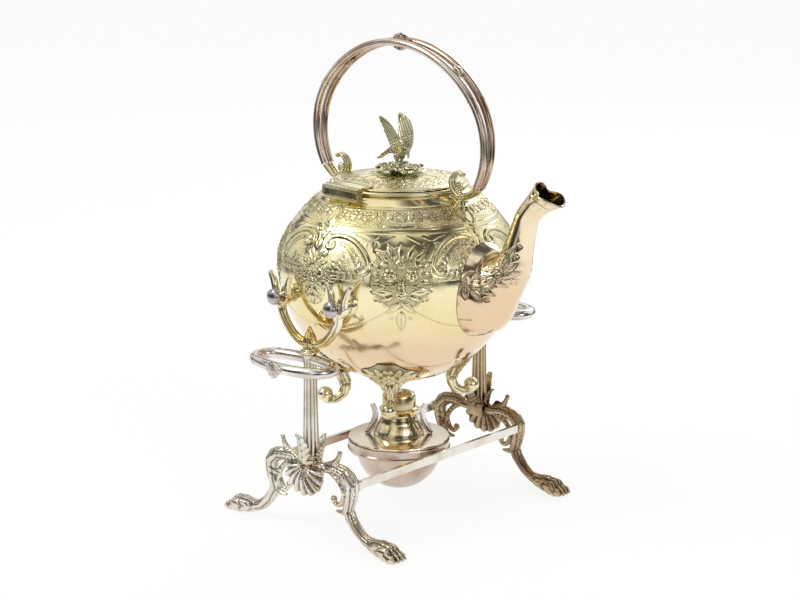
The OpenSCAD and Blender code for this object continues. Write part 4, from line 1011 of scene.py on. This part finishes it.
def make_bosses(paint):
    """The four collars on the body that the hanging pins go into."""
    outline = [(2.75, 87.0), (7.6, 87.0), (7.6, 89.6), (6.9, 90.6), (6.2, 91.2), (6.2, 93.6),
               (6.6, 94.0), (6.6, 94.9), (6.2, 95.4), (5.2, 95.7), (2.75, 95.7), (2.75, 87.0)]
    first = turned("pin_boss_front_near", outline, 48, closed=True, crease=30)
    for name, x, turn in (("pin_boss_front_near", PIN_X, 90), ("pin_boss_rear_near", -PIN_X, 90),
                          ("pin_boss_front_far", PIN_X, -90), ("pin_boss_rear_far", -PIN_X, -90)):
        boss = placed(into_scene(name, first.data.copy()), turn, (x, 0, PIN_Z), "X")
        dress(boss, "kettle", "kettle_plate", paint)
    bpy.data.objects.remove(first)


# The hinge pin's turn about the kettle's axis, its distance from it and its height
HINGE_TURN = -4
HINGE_REACH = 58.35
HINGE_COS, HINGE_SIN = cos_sin(HINGE_TURN)
HINGE_AT = (HINGE_REACH * HINGE_SIN, -HINGE_REACH * HINGE_COS, 266.33)


def hinge_frame(points):
    """Distances along the hinge's pin, in towards the lid and up from the pin."""
    x, y = points[:, 0] - HINGE_AT[0], points[:, 1] - HINGE_AT[1]
    return (x * HINGE_COS + y * HINGE_SIN, y * HINGE_COS - x * HINGE_SIN,
            points[:, 2] - HINGE_AT[2])


def hinge_bar(name, low, high):
    """A rounded bar in the hinge's own frame, from its low corner to its high corner."""
    clear_selection()
    middle = [(a + b) / 2 * MM for a, b in zip(low, high)]
    bpy.ops.mesh.primitive_cube_add(size=1, location=middle,
                                    scale=[(b - a) * MM for a, b in zip(low, high)])
    bar = bpy.context.object
    bar.name = name
    settle(bar)
    bevel = bar.modifiers.new("edge", "BEVEL")
    bevel.width = 0.45 * MM
    bevel.segments = 3
    apply_modifiers(bar)
    return placed(bar, HINGE_TURN, HINGE_AT)


def make_hinge(paints):
    """Block with a moulded front over its knuckles, and the leaf on the lid."""
    added = [hinge_bar("apron", (-19, -4.0, -7.9), (19, -3.1, 0.9)),
             hinge_bar("top_moulding", (-19.4, -4.9, 0.1), (19.4, -3.2, 1.7)),
             hinge_bar("low_moulding", (-19.4, -4.9, -8.1), (19.4, -3.2, -6.7)),
             hinge_bar("end_moulding_left", (-19.6, -4.8, -8.1), (-18.0, 2.6, 1.7)),
             hinge_bar("end_moulding_right", (18.0, -4.8, -8.1), (19.6, 2.6, 1.7))]
    block = casting("hinge_block_cast", "hinge_block", 0.30, 3, added=added)
    along, depth_in, up = hinge_frame(points_of(block))
    lines = (ridge(up + 0.2, 0.3) + ridge(up + 6.4, 0.3)) * (depth_in < -3.4)
    lines += ridge(np.abs(along) - 17.7, 0.3) * (depth_in < -3.4) + ridge(up - 0.9, 0.25)
    carve(block, -0.2 * np.clip(lines, 0, 1), 4.0)
    dress(block, "kettle", "kettle_plate", paints["kettle_trim"], "hinge_block")
    leaf = casting("lid_leaf_cast", "lid_leaf", 0.28, 3)
    along, depth_in, _ = hinge_frame(points_of(leaf))
    plate = (depth_in > 6.5) & (normals_of(leaf)[:, 2] > 0.6)
    border = np.minimum(15.3 - np.abs(along), 13.6 - depth_in)
    depth = -0.30 * plate * ridge(border - 0.4, 0.32) + 0.2 * plate * ridge(border - 1.5, 0.6)
    carve(leaf, depth)
    dress(leaf, "lid_group", "kettle_plate", paints["kettle_trim"], "lid_leaf")


# ---------------------------------------------------------------- castings
def end_frame(points, side):
    """Points of one end of the stand, as seen from outside that end."""
    return np.stack([side * points[:, 0], side * points[:, 1] + SUPPORT_Y, points[:, 2]], 1)


def run_place(x, z, run):
    """Share along a run of points in a plane, and signed distance beside it."""
    best = np.full_like(x, 1e9)
    share = np.zeros_like(x)
    side = np.zeros_like(x)
    count = len(run) - 1
    for i, (a, b) in enumerate(zip(run, run[1:])):
        dx, dz = b[0] - a[0], b[1] - a[1]
        length = math.hypot(dx, dz)
        t = np.clip(((x - a[0]) * dx + (z - a[1]) * dz) / length ** 2, 0, 1)
        d = np.hypot(x - a[0] - t * dx, z - a[1] - t * dz)
        nearer = d < best
        best = np.where(nearer, d, best)
        share = np.where(nearer, (i + t) / count, share)
        turn = ((z - a[1]) * dx - (x - a[0]) * dz) / length
        side = np.where(nearer, turn, side)
    return share, side


# Middle lines of a leg, a cradle's arm, a foot's scroll and a handle's scroll: out and up
LEG_RUN = [(8.4, 57), (14, 57), (26, 59), (36, 57.6), (43.4, 51), (42, 38.5), (39.8, 29),
           (46.4, 18.5), (55, 11), (65, 7.4), (75, 6.4), (84, 4.6), (92, 3)]
ARM_RUN = [(0, 153.1), (9, 153.7), (17.5, 157.9), (25, 166), (29.2, 173.5), (30.4, 182)]
FOOT_RUN = [(47, 112.1), (43.2, 103.6), (45.8, 94.6), (53, 90), (60, 90.4), (62.8, 94.8),
            (59.6, 97.8), (56.6, 95), (59, 93.8)]


HANDLE_RUN = [(84.5, 269.3), (77, 264), (69, 261.5), (63, 261.1), (57.6, 264), (55.6, 268.6),
              (56.2, 274.4), (61.4, 279.3), (66, 277.5)]
# A leg's hair and paw by their distance out, and its toes and the gaps between them
HAIR_OUT = (60, 77)
PAW_OUT = 74
TOES = (-6.2, -2.1, 2.1, 6.2)
TOE_GAPS = (-4.1, 0, 4.1)
FLUTES = 12
FLUTE_LOW, FLUTE_HIGH = 66, 142
# The round end of a foot's scroll: its distance out, height and radius
BALL_OUT, BALL_Z, BALL_R = 60.2, 95.0, 6.3
LEAF_Z = 61.6


def carve_leg(piece, side):
    """Border lines and a leaf on the knee, hair above the paw, toes and claws."""
    p = end_frame(points_of(piece), side)
    n = normals_of(piece)
    x, y, z = np.abs(p[:, 0]), p[:, 1], p[:, 2]
    share, off = run_place(x, z, LEG_RUN)
    facing = np.abs(n[:, 1]) > 0.55
    shank = (share > 0.1) & (share < 0.72)
    depth = -0.55 * ridge(np.abs(off) - 2.6, 0.55) * facing * shank
    depth += 0.35 * ridge(off, 1.5) * facing * shank
    top = (~facing) & shank
    depth += top * (0.35 * ridge(y, 1.0) - 0.45 * ridge(np.abs(y) - 2.0, 0.5))
    knee = (share > 0.12) & (share < 0.42) & facing
    depth -= knee * 0.4 * ridge(np.mod(x * 0.8 + z * 0.6 + np.abs(off) * 1.2, 3.4) - 1.7, 0.5)
    hair = (x > HAIR_OUT[0]) & (x < HAIR_OUT[1]) & (z > 2.5)
    locks = np.cos(y * 2.3 + 0.5 * np.sin(x * 0.7))
    depth += hair * 0.45 * locks * np.clip((x - HAIR_OUT[0]) / 6, 0, 1)
    paw = (x > PAW_OUT) & (z > 0.8)
    gap = np.min([np.abs(y - k) for k in TOE_GAPS], axis=0)
    depth -= paw * 1.0 * ridge(gap, 0.75) * np.clip((x - PAW_OUT) / 5, 0, 1)
    knuckle = ridge(x - 83.5, 2.0) - 0.6 * ridge(x - 87.3, 0.7)
    depth += paw * 0.55 * knuckle * (z > 3)
    depth[p[:, 2] < 0.4] = 0
    carve(piece, depth)


def paw_lumps(way, at_y):
    """The lump of the paw and its four toes, before they are cast in one with the leg."""
    lumps = [bulb("paw", (way * 79.5, at_y, 6.6), (8.8, 8.6, 6.2))]
    for k in TOES:
        reach = 88.2 - 0.22 * abs(k)
        lumps.append(bulb("toe", (way * reach, at_y + k, 3.7), (5.6, 2.5, 3.4)))
        lumps.append(bulb("claw", (way * (reach + 4.6), at_y + k, 2.2), (2.4, 1.0, 1.6)))
    return lumps


def carve_shell(piece, side, centre, reach, spread, ribs, step):
    """Grooves between the ribs of a scallop shell, and growth lines across them."""
    p = end_frame(points_of(piece), side)
    x, z = p[:, 0] - centre[0], centre[1] - p[:, 2]
    angle = np.degrees(np.arctan2(x, z + 1e-6))
    r = np.hypot(x, z)
    phase = np.mod(angle / (2 * spread) * ribs + 0.5 * ribs, 1.0)
    front = normals_of(piece)[:, 1] < 0.2
    far_out = np.clip((r - 0.18 * reach) / (0.3 * reach), 0, 1)
    depth = -step * ridge(np.minimum(phase, 1 - phase) * 3.0, 0.55) * far_out * front
    depth += 0.4 * step * ridge(phase - 0.5, 0.16) * far_out * front
    depth -= 0.25 * step * ridge(np.mod(r, reach / 3.4) - reach / 6.8, 0.35) * front
    carve(piece, depth, 1.0)


def make_leaves(end, side):
    """Acanthus leaves round the foot of a column: a tall one in front, lower ones beside."""
    parts = []
    for turn, tall, wide in ((-90, 1.0, 1.0), (0, 0.62, 0.62), (180, 0.62, 0.62), (90, 0.7, 0.8)):
        rings = branch_rings([
            (8.6, LEAF_Z, 1.3, 4.6 * wide), (9.2, LEAF_Z + 6 * tall, 1.35, 6.6 * wide),
            (10.2, LEAF_Z + 12.5 * tall, 1.2, 6.2 * wide),
            (12.2, LEAF_Z + 18.5 * tall, 1.0, 4.2 * wide),
            (14.6, LEAF_Z + 22 * tall, 0.8, 2.2 * wide),
            (16.4, LEAF_Z + 22.4 * tall, 0.6, 0.7)], 40, 8)
        leaf = lofted("leaf", rings)
        p = points_of(leaf)
        n = normals_of(leaf)
        up = (p[:, 2] - LEAF_Z) / (22 * tall)
        across = np.abs(p[:, 1]) / wide
        outer = n[:, 0] > 0.1
        lobe = np.mod(up * 4.2 - across * 0.16, 1)
        depth = outer * (-0.55 * ridge(across, 0.42) - 0.5 * ridge(lobe - 0.5, 0.10))
        depth += outer * 0.35 * ridge(across - 2.4, 1.4)
        edge = np.abs(n[:, 1]) > 0.55
        depth -= edge * 1.1 * ridge(lobe - 0.5, 0.22)
        carve(leaf, depth)
        p = points_of(leaf)
        p[:, 0] -= 0.035 * p[:, 1] ** 2
        move_points(leaf, p)
        parts.append(placed(leaf, turn))
    piece = join_to(parts[0], parts[1:])
    piece.name = f"leaves_{end}_cast"
    return placed(piece, 0 if side > 0 else 180, (0, -side * SUPPORT_Y, 0))


def carve_column(piece, side):
    """Deepens the flutes that run up the column."""
    p = end_frame(points_of(piece), side)
    angle = np.arctan2(p[:, 1], p[:, 0])
    depth = -0.5 * ridge(np.mod(angle / (2 * np.pi) * FLUTES, 1) - 0.5, 0.15)
    depth *= (p[:, 2] > FLUTE_LOW) & (p[:, 2] < FLUTE_HIGH)
    carve(piece, depth)


def carve_cradle(piece, side):
    """Lined faces on the arms and horns, and a petalled bud at the foot."""
    p = end_frame(points_of(piece), side)
    n = normals_of(piece)
    x, z = np.abs(p[:, 0]), p[:, 2]
    facing = np.abs(n[:, 1]) > 0.6
    _, off = run_place(x, z, ARM_RUN)
    arm = (z > 150) & (z < 181) & (np.hypot(x, p[:, 1]) > 7.5)
    depth = -0.4 * ridge(np.abs(off) - 2.1, 0.5) * facing * arm
    depth += 0.3 * ridge(off, 1.1) * facing * arm
    horn = z > 186
    middle = np.where(x > PIN_X, PIN_X + 7.0 + 0.02 * (z - 186) ** 2, PIN_X - 6.4)
    depth -= 0.35 * ridge(np.abs(x - middle) - 1.3, 0.45) * facing * horn
    angle = np.arctan2(p[:, 1], p[:, 0])
    bud = (np.hypot(p[:, 0], p[:, 1]) < 6.5) & (z > 150)
    depth -= bud * 0.4 * ridge(np.mod(angle / (2 * np.pi) * 8, 1) - 0.5, 0.14)
    carve(piece, depth)


def foot_lumps(angle):
    """The apron under a foot's plate and the round end of its scroll."""
    rings = []
    around = 2 * np.pi * np.arange(40) / 40
    for out, z, half, thick in soften([
            (60.5, 128.2, 17.0, 1.3), (58.6, 125.0, 22.0, 1.7), (55.6, 120.5, 18.5, 2.0),
            (52.2, 115.6, 12.6, 2.3), (49.0, 110.6, 8.2, 2.6), (46.2, 105.0, 5.6, 2.8),
            (44.6, 99.5, 4.4, 2.8)], 6):
        across = half * np.sin(around)
        rings.append(np.stack([out + thick * np.cos(around) - across ** 2 / 120, across,
                               np.full(40, z)], 1))
    apron = placed(lofted("apron", rings), angle)
    c, s = cos_sin(angle)
    return [apron, bulb("ball", (BALL_OUT * c, BALL_OUT * s, BALL_Z), (BALL_R,) * 3)]


def carve_foot(piece, angle):
    """Leafy relief on the plate and its apron, and reeding along the scroll foot."""
    p = points_of(piece)
    c, s = cos_sin(angle)
    out = p[:, 0] * c + p[:, 1] * s
    across = -p[:, 0] * s + p[:, 1] * c
    z = p[:, 2]
    # The scroll is drawn in behind its ball
    free = np.clip((np.hypot(np.hypot(out - BALL_OUT, across), z - BALL_Z) - 6.4) / 2, 0, 1)
    slim = -0.32 * across * free * np.clip((104 - z) / 3, 0, 1)
    across = across + slim
    p[:, 0] -= slim * s
    p[:, 1] += slim * c
    move_points(piece, p)
    n = normals_of(piece)
    facing = n[:, 0] * c + n[:, 1] * s
    ball = np.hypot(np.hypot(out - BALL_OUT, across), z - BALL_Z) < 6.8
    front = (z > 101) & ((facing > 0.05) | (n[:, 2] < -0.35)) & ~ball
    up = z - 104 + 0.45 * (out - 50)
    work = Chasing(lambda a: np.abs(across) - a, up)
    for at, turn, length, width in (
            ((0, -8), 90, 18, 2.8), ((2.8, 1), 76, 13, 2.5), ((1.6, 24), 82, 7, 2.3),
            ((4.6, 21.5), 44, 9, 2.4), ((4.8, 16), 0, 7, 2.1), ((3.4, 12), -46, 7.5, 2.0),
            ((11.5, 18.5), 12, 12, 2.5), ((11.5, 21), 42, 9.5, 2.3), ((10.5, 15.5), -14, 8.5, 2.0),
            ((7.5, 25), 66, 7, 2.1), ((15, 24), 40, 7, 1.9), ((6.5, 8), 58, 7.5, 1.9)):
        work.leaf(at, turn, length, width, 0.8)
    work.flower((0, 17.5), 6.2, 8, 1.2, 90)
    work.flower((10.2, 19.6), 3.0, 5, 1.0)
    work.band([(3.0, 3), (5.6, 7.2), (8.6, 11.0), (11.4, 13.2), (12.6, 16.0), (10.8, 16.8)],
              1.2, 0.9, 0.4)
    work.curl((19.4, 22.0), 2.3, 1.4, 40, 1, 0.9)
    depth = front * (work.relief - 0.6 * work.lines - 0.5 * (work.cover < 0.5))
    _, off = run_place(out, z, FOOT_RUN)
    scroll = ~front & ~ball
    depth += scroll * (0.30 * np.cos(across * 2 * np.pi / 2.3) - 0.1)
    depth -= scroll * 0.35 * ridge(off, 0.6)
    carve(piece, depth, 1.3)


def scroll_lumps(way):
    """A fan inside the handle's scroll, and its rolled tip."""
    return [bulb("fan", (way * 62.6, 0, 267.6), (4.2, 1.1, 5.0)),
            bulb("tip", (way * 65.6, 0, 277.8), (2.0, 3.6, 1.9))]


def carve_handle_scroll(piece, way):
    """Reeds along the scroll where the two rods run on, and ribs across its fan."""
    p = points_of(piece)
    n = normals_of(piece)
    x, z = way * p[:, 0], p[:, 2]
    side_on = np.abs(n[:, 1]) > 0.55
    depth = -0.6 * ridge(p[:, 1], 0.55) - 0.35 * ridge(np.abs(p[:, 1]) - 2.4, 0.4)
    depth *= ~side_on
    _, off = run_place(x, z, HANDLE_RUN)
    fan = (np.hypot((x - 62.6) / 4.0, (z - 267.6) / 4.8) < 1) & side_on & (np.abs(p[:, 1]) < 1.6)
    strand = side_on & (np.abs(off) < 3.4) & ~fan
    depth -= strand * 0.55 * ridge(off, 0.42)
    ribs = np.mod((z - 262.6 - 0.5 * (x - 60)) / 2.1, 1)
    depth -= fan * 0.5 * ridge(ribs - 0.5, 0.2)
    carve(piece, depth * (z > 258))


# The middle of the bird's breast, then x, y, z, chord and thickness of each wing station
BIRD_Z = 289.13
WING_STATIONS = [(0.6, 2.4, -1.5, 5.2, 2.2), (1.4, 5.0, 4.6, 7.0, 1.8), (0.6, 7.2, 11, 7.9, 1.4),
                 (-1.2, 9.0, 17.4, 7.8, 1.2), (-3.4, 10.4, 22.4, 7.0, 1.1),
                 (-5.2, 11.0, 25.2, 5.2, 1.0), (-6.2, 11.2, 26.6, 2.8, 0.8)]


def eagle_lumps():
    """Broad wings with feathered edges, a full breast and feathered thighs."""
    around = -2 * np.pi * np.arange(64) / 64
    lumps = []
    for hand in (1, -1):
        rings = []
        for k, (x, y, z, chord, thick) in enumerate(soften(WING_STATIONS, 8)):
            rear = np.clip(-np.cos(around), 0, 1)
            reach = chord + rear * 0.8 * abs(math.sin(math.pi * k / 5.0))
            rings.append(np.stack([x + reach * np.cos(around),
                                   hand * (y + thick * np.sin(around) + 0.06 * chord
                                           * np.cos(around) ** 2),
                                   BIRD_Z + z - 0.35 * reach * np.cos(around)], 1))
        lumps.append(lofted("wing", rings))
        lumps.append(bulb("thigh", (0.6, hand * 3.0, BIRD_Z - 4.2), (2.9, 2.2, 3.6)))
        for k in (-1, 0, 1):
            lumps.append(bulb("talon", (3.6, hand * 3.0 + 1.5 * k, BIRD_Z - 9.4), (2.6, 0.8, 0.9)))
    lumps.append(bulb("breast", (2.6, 0, BIRD_Z + 0.3), (5.2, 4.9, 5.0)))
    lumps.append(bulb("head", (8.0, 0, BIRD_Z + 0.8), (3.1, 2.7, 2.8)))
    return lumps


def carve_eagle(piece):
    """Long feathers on the raised wings and tail, small ones over the body and head."""
    p = points_of(piece)
    x, y, z = p[:, 0], np.abs(p[:, 1]), p[:, 2] - BIRD_Z
    wing = (z > 2.5) & (y > 4.6)
    span = z * 0.93 - x * 0.36
    chord = x + 0.36 * z
    fan = chord * 0.55 + 0.16 * span
    depth = -0.36 * wing * ridge(np.mod(fan, 1.35) - 0.67, 0.24) * (span > 9)
    small = np.mod(span + 1.5 * np.abs(np.mod(chord, 2.1) - 1.05), 2.2)
    depth -= 0.40 * wing * ridge(small - 1.1, 0.28) * (span <= 9.6)
    tail = x < -8
    depth -= 0.55 * tail * ridge(np.mod(y + 0.65, 1.4) - 0.7, 0.26)
    head = x > 6.5
    eye = np.hypot(x - 8.8, z - 1.5) < 0.8
    body = ~wing & ~tail & ~head
    scale = np.mod(x * 0.9 + z * 0.5 + 0.8 * np.cos(y * 3.0), 1.8)
    depth -= 0.38 * body * ridge(scale - 0.9, 0.28)
    depth -= 0.5 * (head & eye & (y > 1.2))
    depth -= 0.2 * head * ridge(np.mod(x * 1.3 + z, 1.3) - 0.65, 0.2) * (x < 8)
    carve(piece, depth)


def rock_lumps():
    """Lumps of rock and curled leaf ends round the mound."""
    lumps = []
    for k in range(9):
        turn = math.radians(40 * k + 12 * math.sin(2.3 * k))
        reach = 10.6 + 2.4 * math.sin(1.7 * k)
        lumps.append(bulb("lump", (reach * math.cos(turn), reach * math.sin(turn),
                                   276.0 + 1.1 * math.sin(3.1 * k)),
                          (3.9 + 0.7 * math.sin(k), 3.6 + 0.6 * math.cos(2 * k), 2.1)))
        reach += 5.2
        turn += 0.18
        lumps.append(bulb("curl", (reach * math.cos(turn), reach * math.sin(turn),
                                   275.4 + 0.9 * math.sin(2.2 * k)), (2.2, 2.3, 1.5)))
    lumps.append(bulb("perch", (0.5, 0, 278.2), (4.6, 4.2, 2.6)))
    return lumps


def carve_rock(piece):
    """Veined leaves and rough stone."""
    p = points_of(piece)
    angle = np.arctan2(p[:, 1], p[:, 0])
    r = np.hypot(p[:, 0], p[:, 1])
    phase = np.mod(angle / (2 * np.pi) * 14 + 0.5, 1) - 0.5
    leaf = (r > 8.5) & (p[:, 2] > 273)
    depth = -0.5 * leaf * ridge(phase * r * 0.45, 0.35)
    depth -= 0.35 * leaf * ridge(np.mod(r - np.abs(phase) * r * 0.5, 2.1) - 1.05, 0.3)
    depth -= 0.45 * (~leaf) * ridge(np.sin(p[:, 0] * 1.3 + 0.8 * p[:, 2])
                                    * np.sin(p[:, 1] * 1.5 - 0.7 * p[:, 2]), 0.16)
    carve(piece, depth)


def carve_beads(piece):
    """Petals on both faces of each bead between the rods."""
    p = points_of(piece)
    depth = np.zeros(len(p))
    for out, radius in ((0, 7.0), (-BEAD_OUT, 5.2), (BEAD_OUT, 5.2)):
        up = HANDLE_TOP - HANDLE_R + math.sqrt(HANDLE_R ** 2 - out ** 2)
        dx, dz = p[:, 0] - (HANDLE_X + out), p[:, 2] - up
        r = np.hypot(dx, dz)
        mine = r < radius + 1
        petal = np.abs(np.cos(np.arctan2(dz, dx) * 4))
        depth += mine * (0.45 * petal - 0.45) * np.clip(r / radius - 0.3, 0, 1)
    carve(piece, depth * (p[:, 2] > 300))


def make_castings(paints):
    def cast(node, body, slot, grain, smoothing, cut, settings=(), paint=None, added=(), name=""):
        piece = casting(name or node + "_cast", node, grain, smoothing, added)
        cut(piece, *settings)
        dress(piece, body, slot, paints[paint or slot], node)

    for end, side in ENDS.items():
        # The far end of the stand takes the darker copy of its finish: painted shade
        end_shading = "stand_plate" if end == "near" else "stand_shaded"
        for hand in ("left", "right"):
            way = side * (-1 if hand == "left" else 1)
            cast(f"leg_{end}_{hand}", "stand", "stand_plate", 0.60, 4, carve_leg, (side,), end_shading,
                 paw_lumps(way, -side * SUPPORT_Y))
        cast(f"shell_{end}", "stand", "stand_plate", 0.5, 3, carve_shell,
             (side, (0, 58.6), 24, 88, 9, 1.0), end_shading)
        cast(f"ring_shell_{end}", "stand", "ring_plate", 0.36, 2, carve_shell,
             (side, (0, 147.6), 13.5, 75, 7, 0.55))
        dress(make_leaves(end, side), "stand", "stand_plate", paints[end_shading], f"leaves_{end}")
        cast(f"column_{end}", "stand", "stand_plate", 0.55, 2, carve_column, (side,), end_shading)
        cast(f"cradle_{end}", "stand", "gilt_plate", 0.55, 3, carve_cradle, (side,))
    for node, angle in FOOT_ANGLES.items():
        cast(node, "kettle", "kettle_plate", 0.46, 3, carve_foot, (angle,), "kettle_trim",
             foot_lumps(angle))
    for node, way in (("handle_scroll_front", 1), ("handle_scroll_rear", -1)):
        cast(node, "kettle", "kettle_plate", 0.42, 3, carve_handle_scroll, (way,),
             "kettle_trim", scroll_lumps(way))
    cast("handle_beads", "kettle", "handle_plate", 0.35, 2, carve_beads)
    cast("eagle", "lid_group", "kettle_plate", 0.30, 4, carve_eagle, (), "finial_plate",
         eagle_lumps())
    cast("finial_rock", "lid_group", "kettle_plate", 0.34, 3, carve_rock, (), "finial_plate",
         rock_lumps(), "rock_cast")


# ---------------------------------------------------------------- lamp
def make_straps(paint):
    """Flat springs that stand on the lamp's cover beside the burner."""
    for node, turn in (("strap_left", 222), ("strap_right", 42)):
        rings = branch_rings([(27.0, 58.5, 1.9, 0.55), (24.6, 59.4, 2.3, 0.55),
                              (21.6, 64.6, 2.5, 0.55), (19.4, 70.4, 2.5, 0.55),
                              (19.2, 76.4, 2.3, 0.55),
                              (21.4, 82.6, 2.0, 0.5)], 24, 7)
        strap = placed(lofted(node + "_bent", rings, crease=60), turn)
        dress(strap, "lamp", "pin_plate", paint, node)


# ---------------------------------------------------------------- build
# Finishes of the nodes kept as they are, where it isn't their slot's own; the far handle rod and
# the far plinth take darker copies, which are painted shade
OWN_FINISH = {"handle_rod_far": "handle_shaded", "plinth_far": "stand_shaded",
              "snuffer": "gilt_plate", "lamp_cover": "lamp_cover"}


def main():
    place_camera()
    studio()
    floor()
    screens()
    paints = finishes()
    body_of = {n: b for b, group in frame["record"]["behaviour"]["bodies"].items()
               for n in group}
    slot_of = {s["node"]: s["material_slot"] for s in frame["record"]["subparts"]}
    make_body(paints)
    make_spout(paints["spout_plate"])
    make_lid(paints["kettle_plate"])
    make_bosses(paints["kettle_trim"])
    make_hinge(paints)
    make_castings(paints)
    make_straps(paints["ring_plate"])
    # What has no piece of its own yet is shown by its own shape
    for node, piece in frame["nodes"].items():
        if piece.hide_render:
            continue
        slot = slot_of[node]
        usual = "kettle_trim" if slot == "kettle_plate" else slot
        paint = paints[OWN_FINISH.get(node, usual)]
        dress(casting(node + "_plain", node, 0), body_of[node], slot, paint, node)


main()
